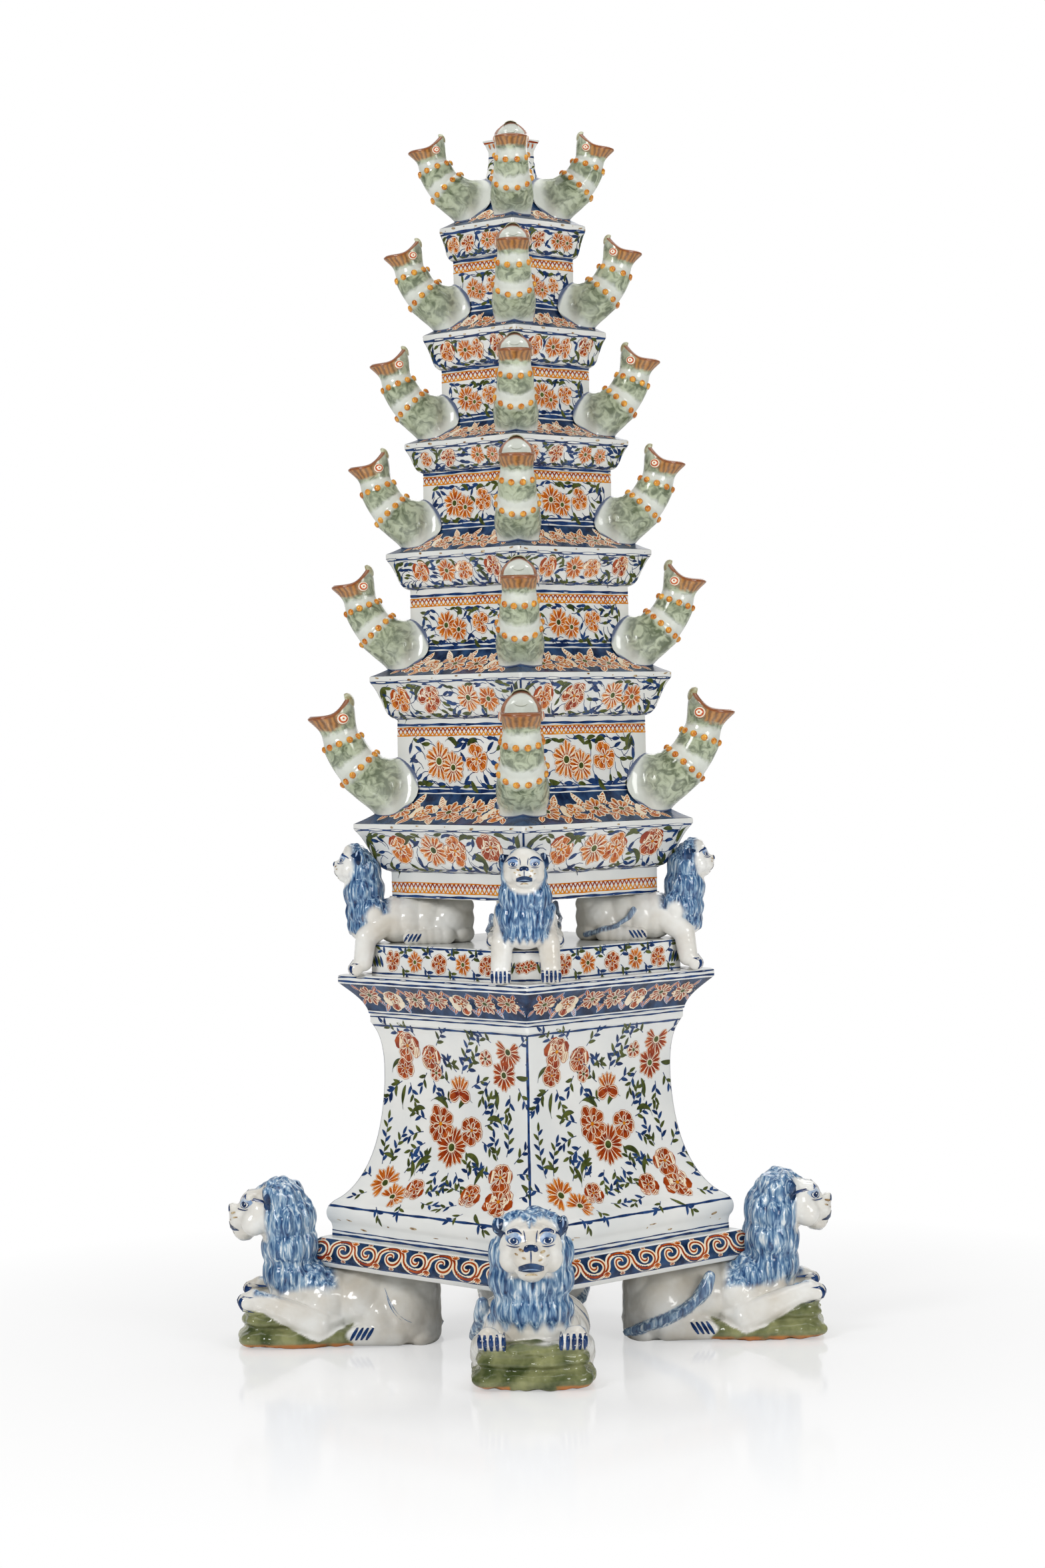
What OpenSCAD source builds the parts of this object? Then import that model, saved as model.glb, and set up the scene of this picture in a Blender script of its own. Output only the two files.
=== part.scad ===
// Flower pyramid: square water vessels stacked in lift-off tiers, each with four
// animal-head flower spouts, on lions, a waisted pedestal and four larger foot lions.
// Millimetres, +Z up. The corners of the square plan point along X and Y.
// A "reach" is the distance from the tower's axis to a corner of the square.

/* [Stand] */
// Clear height under the base plate
plate_z = 66; // [56:1:76]
// Thickness of the base plate
plate_t = 25; // [18:1:34]
// Reach of the base plate
plate_reach = 196; // [190:1:206]
// Reach of the square hole in the base plate
vent_reach = 104; // [60:1:112]
// How far the foot moulding of the pedestal stands in from the base plate
foot_inset = 16; // [10:1:26]
// Reach of the waist of the pedestal
waist_reach = 126; // [116:1:134]
// Height of the waist above the base plate
waist_rise = 135; // [120:1:150]
// Height of the pedestal from the base plate to the top of its fillet
pedestal_h = 194; // [184:1:210]
// Reach of the fillet under the cornice
fillet_reach = 138; // [130:1:146]
// Wall of the hollow pedestal
pedestal_wall = 8; // [5:0.5:12]
// Reach of the cornice
cornice_reach = 165; // [158:1:174]
// Height of the cornice
cornice_h = 35; // [28:1:44]
// Distance from the axis to the cut-off corners of the plinth on the cornice
plinth_reach = 134; // [128:1:138]
// Width of the flat on each cut-off corner
plinth_flat = 26; // [16:1:36]
// Height of the plinth
plinth_h = 27; // [20:1:32]

/* [Lions] */
// Height of the backs of the upper lions, which carry the tower
upper_back = 39.5; // [36:0.5:44]
// Clear space between the upper lions' manes and the lowest tier
mane_gap = 1.5; // [0.5:0.5:4]
// How far the foot lions' trunks stand out past the base plate's corner, up to the nose
nose_out = 69; // [66:1:72]
// Length of the foot lions from rump to nose
lower_length = 187; // [180:1:196]
// Width of the foot lions' mounds
mound_w = 95; // [86:1:104]
// Height of the foot lions' mounds
mound_h = 27; // [22:1:32]

/* [Tower] */
// Height of each tier from its foot to its top, lowest first
tier_h = [148.5, 112, 105.5, 89.5, 94.5, 106.5]; // [80:0.5:160]
// Reach of each tier's rim
rim_reach = [149.5, 133, 117, 98.5, 81, 64.5]; // [60:0.5:156]
// Height of each rim above the tier's own foot
rim_rise = [62.5, 42, 36.5, 26.5, 31, 29]; // [24:0.5:68]
// Rise of each shoulder, from the rim to the neck
shoulder_rise = [28.5, 24, 22.5, 19, 21, 22.5]; // [16:0.5:32]
// Reach of each neck
neck_reach = [109, 96, 82.5, 65, 53, 33.5]; // [32:0.5:112]
// Height of the plain foot band of each tier
foot_rise = [23, 7, 7.5, 3.5, 3, 3]; // [2:0.5:26]
// Reach of the lowest tier's foot
tower_foot_reach = 116.5; // [108:0.5:120]
// Thickness of each rim's upright edge
rim_edge = 4.5; // [3:0.5:7]
// Wall of the vessels
tier_wall = 6.5; // [5:0.5:8]
// Depth of the low locating ring under each upper tier
spigot_h = 2.5; // [1.5:0.5:4]
// Clear space round each locating ring
spigot_gap = 1.2; // [0.5:0.1:2]
// Clear space under the foot of each upper tier
seat_gap = 0.1; // [0.05:0.05:0.3]
// Reach of the top mouth at its narrowest
mouth_reach = 20.5; // [18:0.5:24]
// Reach of the top mouth at its lip
lip_reach = 26; // [24:0.5:30]

/* [Spouts] */
// Size of each tier's spouts beside those of the lowest tier
spout_size = [1, 0.86, 0.82, 0.78, 0.75, 0.70]; // [0.6:0.01:1.1]
// Tilt of the spout where it leaves the neck
root_tilt = 26; // [18:1:36]
// Bend of the spout from root to head
spout_bend = 50; // [40:1:56]
// Radius of that bend
bend_r = 73; // [64:1:82]
// Radius of the spout's lower sleeve
sleeve_r = 20; // [18:0.5:22]
// Radius of the water passage
bore_r = 13; // [10:0.5:14]
// Radius of the open mouth
gape_r = 23.5; // [21:0.5:26]
// Wall at the mouth
jaw_wall = 4.5; // [3.5:0.5:6]

/* [Hidden] */
$fn = 48;
SIDES = ["right", "back", "left", "front"];
STAND = ["base_plate", "pedestal", "pedestal_cap"];
plate_top = plate_z + plate_t;
cap_z = plate_top + pedestal_h;
ledge_z = cap_z + cornice_h;
plinth_top = ledge_z + plinth_h;
tower_z = plinth_top + upper_back;
function sum(v, n) = n <= 0 ? 0 : v[n - 1] + sum(v, n - 1);
function tier_z(i) = tower_z + sum(tier_h, i);
function tier_foot(i) = i == 0 ? tower_foot_reach : neck_reach[i - 1];
function curve(a, b, c, d, n = 7) = [for (k = [0:n]) let (t = k / n, u = 1 - t)
    u * u * u * a + 3 * u * u * t * b + 3 * u * t * t * c + t * t * t * d];
function between(a, b, x, y) = [a[0] + (b[0] - a[0]) * x, a[1] + (b[1] - a[1]) * y];
// The inner side of a wall, stepped in level from the outer line
function inset(line, wall) = [for (p = line) [p[0] - wall * sqrt(2), p[1]]];

white = [0.90, 0.91, 0.90];
green = [0.62, 0.68, 0.58];

// A solid of square plan whose reach at each height follows a line of [reach, z] points
module square_solid(line) {
    half = [for (p = line) [p[0] / sqrt(2), p[1]]];
    n = len(half);
    outline = concat(half, [for (k = [n - 1:-1:0]) [-half[k][0], half[k][1]]]);
    span = 2 * max([for (p = half) p[0]]) + 20;
    rotate([0, 0, 45]) intersection() {
        rotate([90, 0, 0]) linear_extrude(span, center = true) polygon(outline);
        rotate([90, 0, 90]) linear_extrude(span, center = true) polygon(outline);
    }
}

module square_block(reach, z, h) {
    translate([0, 0, z + h / 2]) rotate([0, 0, 45])
        cube([reach * sqrt(2), reach * sqrt(2), h], center = true);
}

// Base plate: a slab with a slightly full edge, open in the middle under the pedestal
function plate_line() = concat(
    [[plate_reach - 5, plate_z], [plate_reach - 1, plate_z + 4]],
    curve([plate_reach, plate_z + 6], [plate_reach + 1, plate_z + plate_t * 0.5],
          [plate_reach - 2, plate_z + plate_t * 0.8], [plate_reach - 9, plate_top - 1], 4),
    [[plate_reach - 13, plate_top]]);

module base_plate() {
    color(white) difference() {
        square_solid(plate_line());
        square_block(vent_reach, plate_z - 1, plate_t + 2);
    }
}

// Pedestal: scotia, foot moulding, a long hollow sweep to the waist, and a fillet on top
function pedestal_line() = let (z = plate_top, f = plate_reach - foot_inset, w = waist_reach, t = fillet_reach)
    concat(
        [[f - 5, z], [f - 5.5, z + 8], [f - 4.5, z + 12]],
        curve([f - 2, z + 15], [f, z + 18], [f + 0.5, z + 24], [f - 3, z + 27.5], 4),
        curve([f - 8, z + 31.5], [w + 26, z + 39], [w + 2, z + 74], [w, z + waist_rise], 10),
        curve([w, z + waist_rise + 6], [w, z + waist_rise + 26],
              [w + 3, cap_z - 17], [t - 1, cap_z - 8], 5),
        [[t, cap_z - 7], [t, cap_z]]);

module pedestal() {
    core = inset(pedestal_line(), pedestal_wall);
    n = len(core);
    color(white) difference() {
        square_solid(pedestal_line());
        square_solid(concat([[core[0][0], plate_top - 1]], core, [[core[n - 1][0], cap_z + 1]]));
    }
}

// Cap: a flaring cornice with the plinth on it, its corners cut off, closed on top
function cornice_line() = let (a = [fillet_reach + 1, cap_z], b = [cornice_reach, ledge_z - 7])
    concat(curve(a, between(a, b, 0.12, 0.42), between(a, b, 0.5, 0.64), b, 6),
           [[cornice_reach, ledge_z - 1.5], [cornice_reach - 2, ledge_z]]);

module cap_form() {
    square_solid(cornice_line());
    intersection() {
        square_block(plinth_reach + plinth_flat / 2, ledge_z - 2, plinth_h + 2);
        translate([0, 0, ledge_z + plinth_h / 2 - 1])
            cube([2 * plinth_reach, 2 * plinth_reach, plinth_h + 2], center = true);
    }
}

module pedestal_cap() {
    color(white) difference() {
        cap_form();
        square_block(fillet_reach - pedestal_wall * sqrt(2), cap_z - 1, cornice_h + plinth_h - 8);
    }
}

// A rounded limb between two points, and one mirrored on both flanks
module limb(a, ra, b, rb) {
    hull() {
        translate(a) sphere(ra, $fn = 8);
        translate(b) sphere(rb, $fn = 8);
    }
}

module flanks(a, ra, b, rb) {
    for (s = [1, -1]) limb([a[0], s * a[1], a[2]], ra, [b[0], s * b[1], b[2]], rb);
}

// A mass that is as wide as its two flank spheres, swept from one end to the other
module mass(a, ra, b, rb) {
    hull() for (s = [1, -1]) {
        translate([a[0], s * a[1], a[2]]) sphere(ra, $fn = 12);
        translate([b[0], s * b[1], b[2]]) sphere(rb, $fn = 12);
    }
}

// Foot lion, facing out along +X: it lies with its back under the plate and its
// forelegs on a mound, its mane and head rising outside the corner of the plate
module lower_lion_form() {
    mid = plate_z / 2;
    nose = plate_reach + nose_out;
    translate([nose - 265, 0, 0]) {
        mass([265 - lower_length + mid, 9, mid], mid + 3, [178, 8, mid + 3], mid);
        flanks([112, 24, 29], 26, [128, 27, 24], 21);
        flanks([116, 36, 12], 12, [158, 39, 9], 9);
        mass([203, 4, 60], 32, [214, 4, 106], 31);
        mass([228, 5, 114], 24, [250, 5, 104], 14.5);
        flanks([221, 26, 125], 7, [226, 27, 122], 6);
        flanks([186, 37, 19], 12, [240, 34, mound_h + 8], 10);
        flanks([240, 34, mound_h + 8], 10.5, [247, 33, mound_h + 7], 9.5);
        hull() {
            translate([148, -mound_w / 2 + 6, 0]) cube([104, mound_w - 12, 7]);
            translate([158, -mound_w / 2, 0]) cube([94, mound_w, 3]);
            translate([253, -mound_w / 2 + 8, 0]) cube([3, mound_w - 16, 10]);
            translate([190, -mound_w / 2 + 7, mound_h - 4]) cube([58, mound_w - 14, 4]);
        }
        limb([92, -33, 13], 7, [124, -46, 27], 5.5);
        limb([124, -46, 27], 5.5, [150, -37, 50], 7);
    }
}

module lower_lion(k) {
    color(white) rotate([0, 0, 90 * k]) difference() {
        lower_lion_form();
        square_solid(plate_line());
        square_block(plate_reach - 13, plate_z, plate_t + 60);
        translate([0, 0, -2 * plate_reach]) cube(4 * plate_reach, center = true);
    }
}

// Upper lion, facing out along +X: it lies on the plinth with a flat back under the
// tower, and its forelegs step down on to the ledge of the cornice
module upper_lion_form() {
    p = plinth_top;
    c = plinth_reach - 134;
    translate([c, 0, 0]) {
        mass([66, 6, p + 20], 22, [112, 6, p + 20], 21);
        flanks([70, 15, p + 16], 16, [80, 17, p + 12], 12);
        flanks([68, 25, p + 7], 8, [100, 27, p + 5], 6);
        mass([136, 3, p + 26], 19, [142, 3, p + 64], 18.5);
        mass([147, 3, p + 70], 16.5, [160, 2, p + 64], 9);
        flanks([143, 15, p + 78], 5, [146, 16, p + 77], 4.5);
        flanks([118, 15, p + 20], 11, [139, 20, p + 4], 9);
        flanks([139, 20, p + 4], 8.5, [138, 21, ledge_z + 6], 8);
        flanks([138, 21, ledge_z + 6], 8, [144, 21, ledge_z + 5], 7.5);
        limb([52, -18, p + 6], 5, [76, -32, p + 15], 4.5);
        limb([76, -32, p + 15], 4.5, [94, -24, p + 28], 5.5);
    }
}

module upper_lion(k) {
    color(white) rotate([0, 0, 90 * k]) difference() {
        upper_lion_form();
        cap_form();
        translate([0, 0, tower_z]) square_solid(
            [for (p = tier_line(0)) if (p[1] < rim_rise[0]) [p[0] + mane_gap * sqrt(2), p[1]]]);
    }
}

// Outer line of a tier from its foot, over the rim, to its top
function tier_line(i) = let (
        f = tier_foot(i), rz = rim_rise[i], e = rim_edge / 2, nz = rz + shoulder_rise[i],
        a = [f + 1.5, foot_rise[i]], b = [rim_reach[i], rz - e],
        c = [rim_reach[i], rz + e], d = [neck_reach[i], nz], h = tier_h[i])
    concat(
        [[f, i == 0 ? 0 : seat_gap], [f, foot_rise[i]]],
        curve(a, between(a, b, 0.55, 0.12), between(a, b, 0.45, 0.6), b),
        curve(c, between(c, d, 0.4, 0.22), between(c, d, 0.88, 0.62), d, 6),
        i < 5 ? [[neck_reach[i], h]] : concat(
            curve([neck_reach[i] - 0.5, nz + 2], [neck_reach[i] - 7, nz + 18],
                  [mouth_reach, h - 32], [mouth_reach, h - 10], 5),
            [[(mouth_reach + lip_reach) / 2, h - 4], [lip_reach, h]]));

// Water space of a tier: open at the top, with its floor above the foot
module tier_hollow(i) {
    core = inset(tier_line(i), tier_wall * (i == 5 ? 0.85 : 1));
    floor_z = foot_rise[i] + 5;
    inner = [for (p = core) if (p[1] > floor_z) p];
    n = len(inner);
    square_solid(concat([[inner[0][0] - 2, floor_z]], inner, [[inner[n - 1][0], tier_h[i] + 1]]));
}

module tier_body(i) {
    wall = tier_wall * sqrt(2);
    fit = i == 0 ? 0 : neck_reach[i - 1] - wall - spigot_gap * sqrt(2);
    color(white) translate([0, 0, tier_z(i)]) difference() {
        union() {
            square_solid(tier_line(i));
            if (i > 0) square_block(fit, -spigot_h, spigot_h + 1);
        }
        tier_hollow(i);
        if (i > 0) square_block(fit - 5 * sqrt(2), -spigot_h - 1, spigot_h + 1);
        if (i == 0) square_block(tower_foot_reach - wall, -1, foot_rise[0] - 2);
        for (k = [0:3]) rotate([0, 0, 90 * k]) at_root(i) spout_bore();
    }
}

// Spout, in its own plane: x away from the tower, the root at the origin
module at_root(i) {
    s = spout_size[i];
    translate([neck_reach[i] + 11 * s, 0, rim_rise[i] + shoulder_rise[i] + 5.5 * s]) scale(s) children();
}

module along(a) {
    rotate([0, 90 - a, 0]) children();
}

module bend(from, to, r) {
    translate([-bend_r * sin(root_tilt), 0, bend_r * cos(root_tilt)])
        rotate([90, 0, 0]) rotate([0, 0, root_tilt - 90 + from])
            rotate_extrude(angle = to - from) translate([bend_r, 0]) circle(r);
}

module at_head() {
    a = root_tilt + spout_bend;
    translate([bend_r * (sin(a) - sin(root_tilt)), 0, bend_r * (cos(root_tilt) - cos(a))]) along(a) children();
}

module spout_bore() {
    throat_r = gape_r - jaw_wall;
    along(root_tilt) translate([0, 0, -48]) cylinder(h = 52, r = bore_r - 0.5);
    bend(0, spout_bend, bore_r);
    at_head() {
        translate([0, 0, -3]) cylinder(h = 21, r1 = bore_r - 1.2, r2 = throat_r);
        translate([0, 0, 17]) cylinder(h = 31, r = throat_r - 0.2);
    }
}

// Outer form: a flared root, two sleeves that end in raised collars, and the open head
module spout_form() {
    lower = spout_bend * 0.42;
    upper = spout_bend * 0.84;
    along(root_tilt) translate([0, 0, -40]) cylinder(h = 44, r = sleeve_r + 0.8);
    translate([-3, 0, -34]) cylinder(h = 40, r1 = sleeve_r + 2, r2 = sleeve_r - 6);
    bend(0, spout_bend, sleeve_r - 2.5);
    bend(2, lower, sleeve_r);
    bend(lower - 2, lower + 2, sleeve_r + 1.2);
    bend(lower + 1, upper, sleeve_r - 1.3);
    bend(upper - 2, upper + 2, sleeve_r - 0.1);
    difference() {
        at_head() {
            translate([0, 0, -4]) cylinder(h = 21, r1 = sleeve_r - 3.4, r2 = gape_r);
            translate([0, 0, 16]) cylinder(h = 15.5, r1 = gape_r - 0.2, r2 = gape_r - 1.5);
            for (s = [1, -1]) translate([-11.5, s * (sleeve_r - 3), 11]) sphere(4.5);
        }
        mouth_cut();
    }
}

// The gape: a hollow across the head, from the tip of the upper jaw to the lower lip
module mouth_cut() {
    a = root_tilt + spout_bend;
    translate([bend_r * (sin(a) - sin(root_tilt)) + 31, 0, bend_r * (cos(root_tilt) - cos(a)) + 57.5])
        rotate([90, 0, 0]) cylinder(h = 80, r = 46.6, center = true);
}

module spout(i, k) {
    color(green) translate([0, 0, tier_z(i)]) rotate([0, 0, 90 * k]) difference() {
        at_root(i) difference() {
            spout_form();
            spout_bore();
        }
        square_solid(tier_line(i));
    }
}

base_plate();
pedestal();
pedestal_cap();
for (k = [0:3]) lower_lion(k);
for (k = [0:3]) upper_lion(k);
for (i = [0:5]) tier_body(i);
for (i = [0:5], k = [0:3])
    spout(i, k);
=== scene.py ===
import bpy, bmesh, math
import numpy as np
from mathutils import Matrix, Vector, noise
from mathutils.bvhtree import BVHTree


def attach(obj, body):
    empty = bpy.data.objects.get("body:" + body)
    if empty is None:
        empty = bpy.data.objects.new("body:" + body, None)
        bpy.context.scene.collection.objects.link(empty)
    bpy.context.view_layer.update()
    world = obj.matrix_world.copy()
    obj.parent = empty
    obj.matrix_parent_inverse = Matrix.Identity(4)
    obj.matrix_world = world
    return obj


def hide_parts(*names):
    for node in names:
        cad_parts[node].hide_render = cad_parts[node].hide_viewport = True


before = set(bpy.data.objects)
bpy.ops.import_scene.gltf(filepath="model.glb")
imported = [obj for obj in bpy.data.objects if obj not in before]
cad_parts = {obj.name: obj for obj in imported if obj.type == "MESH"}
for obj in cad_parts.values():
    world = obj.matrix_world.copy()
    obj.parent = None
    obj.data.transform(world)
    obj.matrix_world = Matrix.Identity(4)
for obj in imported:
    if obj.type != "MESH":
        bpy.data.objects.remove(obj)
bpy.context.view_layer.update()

# The view: a long lens at the photograph's height, rolled a little because the
# photographed tower leans. The floor and the world are plain white and lit softly.
LENS_MM, SENSOR_MM = 78.8, 36
EYE = (0, -2.996, 0.541)
PITCH, ROLL = math.radians(88.9), math.radians(-1.03)
LAMP_AIM = Vector((0, 0, 0.5))
LAMPS = (("key", (-1.9, -2.4, 1.8), 0.9, 44), ("fill", (2.1, -2.4, 1.3), 1.2, 37),
         ("top", (0, 0.3, 3.0), 2.2, 28), ("rim", (0.6, 2.6, 1.9), 1.8, 14))


def preset(node, **values):
    """Sets inputs of a node; an underscore in a name stands for a space."""
    for label, value in values.items():
        node.inputs[label.replace("_", " ")].default_value = value


def wire(tree, *links):
    """Joins nodes; each link is (node, its output, node, its input)."""
    for node, output, other, entry in links:
        tree.links.new(node.outputs[output], other.inputs[entry])


cam = bpy.data.objects.new("camera", bpy.data.cameras.new("camera"))
bpy.context.collection.objects.link(cam)
cam.data.lens, cam.data.sensor_width = LENS_MM, SENSOR_MM
cam.location = EYE
cam.rotation_euler = (Matrix.Rotation(PITCH, 3, "X") @ Matrix.Rotation(ROLL, 3, "Z")).to_euler()
bpy.context.scene.camera = cam
bpy.context.scene.view_settings.view_transform = "Standard"
world = bpy.data.worlds.new("studio")
bpy.context.scene.world = world
world.use_nodes = True
wt = world.node_tree
wt.nodes.clear()
ray = wt.nodes.new("ShaderNodeLightPath")
seen, soft, dim = (wt.nodes.new("ShaderNodeBackground") for _ in range(3))
preset(seen, Color=(1, 1, 1, 1), Strength=1.0)
preset(soft, Color=(1, 1, 0.99, 1), Strength=0.36)
gaze, split, back = (wt.nodes.new("ShaderNode" + n) for n in ("TexCoord", "SeparateXYZ", "MapRange"))
shine, pick, sky = (wt.nodes.new("ShaderNode" + n) for n in ("MixShader", "MixShader", "OutputWorld"))
preset(back, From_Min=0.55, From_Max=0.85, To_Min=0.10, To_Max=1.0)
wire(wt, (gaze, "Generated", split, 0), (split, "Y", back, "Value"), (back, "Result", dim, "Strength"),
     (ray, "Is Glossy Ray", shine, "Fac"), (soft, 0, shine, 1), (dim, 0, shine, 2),
     (ray, "Is Camera Ray", pick, "Fac"), (shine, 0, pick, 1), (seen, 0, pick, 2),
     (pick, 0, sky, "Surface"))
for name, place, size, power in LAMPS:
    lamp = bpy.data.objects.new(name, bpy.data.lights.new(name, "AREA"))
    bpy.context.collection.objects.link(lamp)
    lamp.data.size, lamp.data.energy = size, power
    lamp.location = place
    lamp.rotation_euler = (LAMP_AIM - Vector(place)).to_track_quat("-Z", "Y").to_euler()
bpy.ops.mesh.primitive_plane_add(size=14, location=(0, 0, 0))
floor = bpy.context.object
floor.name = "floor"
fm = bpy.data.materials.new("floor")
fm.use_nodes = True
fp = fm.node_tree.nodes["Principled BSDF"]
preset(fp, Base_Color=(0.96, 0.96, 0.962, 1), Roughness=0.10, Specular_IOR_Level=0.6)
ft = fm.node_tree
paper, sheet, where, far, spread, eye, share = (
    ft.nodes.new("ShaderNode" + n)
    for n in ("Emission", "MixShader", "NewGeometry", "VectorMath", "MapRange", "LightPath", "Math"))
far.operation, share.operation = "LENGTH", "MULTIPLY"
preset(spread, From_Min=0.30, From_Max=0.75, To_Min=0.45, To_Max=1.0)
wire(ft, (where, "Position", far, 0), (far, "Value", spread, "Value"), (spread, "Result", share, 0),
     (eye, "Is Camera Ray", share, 1), (share, 0, sheet, "Fac"), (fp, 0, sheet, 1), (paper, 0, sheet, 2),
     (sheet, 0, ft.nodes["Material Output"], "Surface"))
floor.data.materials.append(fm)


# Base plate: a thick square slab of tin-glazed earthenware with a full edge, painted with a
# running scroll. Made as a loft of soft-cornered squares along a profile; the paint lies on it.
def lin(r, g, b):
    return tuple(((c / 255 + 0.055) / 1.055) ** 2.4 if c > 10 else c / 3295 for c in (r, g, b)) + (1,)


def effect(name, sockets):
    tree = bpy.data.node_groups.new(name, "ShaderNodeTree")
    for way, label, kind, value in sockets:
        item = tree.interface.new_socket(label, in_out=way, socket_type=kind)
        if value is not None:
            item.default_value = value
    return tree, tree.nodes.new("NodeGroupInput"), tree.nodes.new("NodeGroupOutput")


def brushed():
    """Two strengths of one colour, mixed as a loaded brush leaves them, with a slightly wavy skin."""
    if "brushed" in bpy.data.node_groups:
        return bpy.data.node_groups["brushed"]
    tree, gin, out = effect("brushed", (
        ("INPUT", "Deep", "NodeSocketColor", None), ("INPUT", "Thin", "NodeSocketColor", None),
        ("INPUT", "Scale", "NodeSocketFloat", 60.0), ("INPUT", "Wave", "NodeSocketFloat", 0.1),
        ("OUTPUT", "Color", "NodeSocketColor", None), ("OUTPUT", "Normal", "NodeSocketVector", None)))
    n = tree.nodes.new
    co, cloud, ramp = n("ShaderNodeTexCoord"), n("ShaderNodeTexNoise"), n("ShaderNodeMapRange")
    preset(cloud, Detail=4)
    preset(ramp, From_Min=0.36, From_Max=0.66)
    mix = n("ShaderNodeMix")
    mix.data_type = "RGBA"
    wavy, bump = n("ShaderNodeTexNoise"), n("ShaderNodeBump")
    preset(wavy, Scale=70, Detail=2)
    preset(bump, Distance=0.002)
    wire(tree, (co, "Object", cloud, "Vector"), (gin, "Scale", cloud, "Scale"),
         (cloud, "Fac", ramp, "Value"), (ramp, "Result", mix, "Factor"), (gin, "Deep", mix, "A"),
         (gin, "Thin", mix, "B"), (mix, "Result", out, "Color"), (co, "Object", wavy, "Vector"),
         (wavy, "Fac", bump, "Height"), (gin, "Wave", bump, "Strength"), (bump, "Normal", out, "Normal"))
    return tree


GLASS_IOR = 1.52


def glaze(name, deep, thin, scale, rough=0.14, wave=0.12, shine=0.36):
    """A glazed colour, made once by name."""
    mat = bpy.data.materials.get(name)
    if mat:
        return mat
    mat = bpy.data.materials.new(name)
    mat.use_nodes = True
    nodes = mat.node_tree.nodes
    skin = nodes["Principled BSDF"]
    preset(skin, Roughness=rough, IOR=GLASS_IOR, Specular_IOR_Level=shine)
    g = nodes.new("ShaderNodeGroup")
    g.node_tree = brushed()
    preset(g, Deep=deep, Thin=thin, Scale=scale, Wave=wave)
    wire(mat.node_tree, (g, "Color", skin, "Base Color"), (g, "Normal", skin, "Normal"))
    return mat


PAINTS = {
    "white": (lin(228, 230, 228), lin(239, 239, 235), 14),
    # The tiers' white: the white glaze made darker, as painted shade for the dimmer light up the tower.
    "tower": (lin(219, 221, 218), lin(233, 233, 229), 18),
    "ground": (lin(10, 30, 62), lin(46, 76, 116), 90),
    "blue": (lin(12, 36, 80), lin(42, 74, 126), 120),
    "red": (lin(138, 42, 4), lin(178, 76, 16), 110),
    "orange": (lin(180, 82, 8), lin(208, 120, 36), 110),
    "green": (lin(50, 60, 24), lin(92, 100, 44), 120),
    "reserve": (lin(243, 225, 194), lin(248, 236, 214), 60),
    "amber": (lin(198, 104, 0), lin(226, 150, 26), 110),
    "brick": (lin(116, 26, 2), lin(150, 48, 8), 90),
    "wash": (lin(120, 150, 190), lin(196, 210, 226), 150),
    "rust": (lin(122, 84, 40), lin(214, 196, 160), 260),
}


def paint(name):
    return glaze("glaze_" + name, *PAINTS[name])


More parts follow.
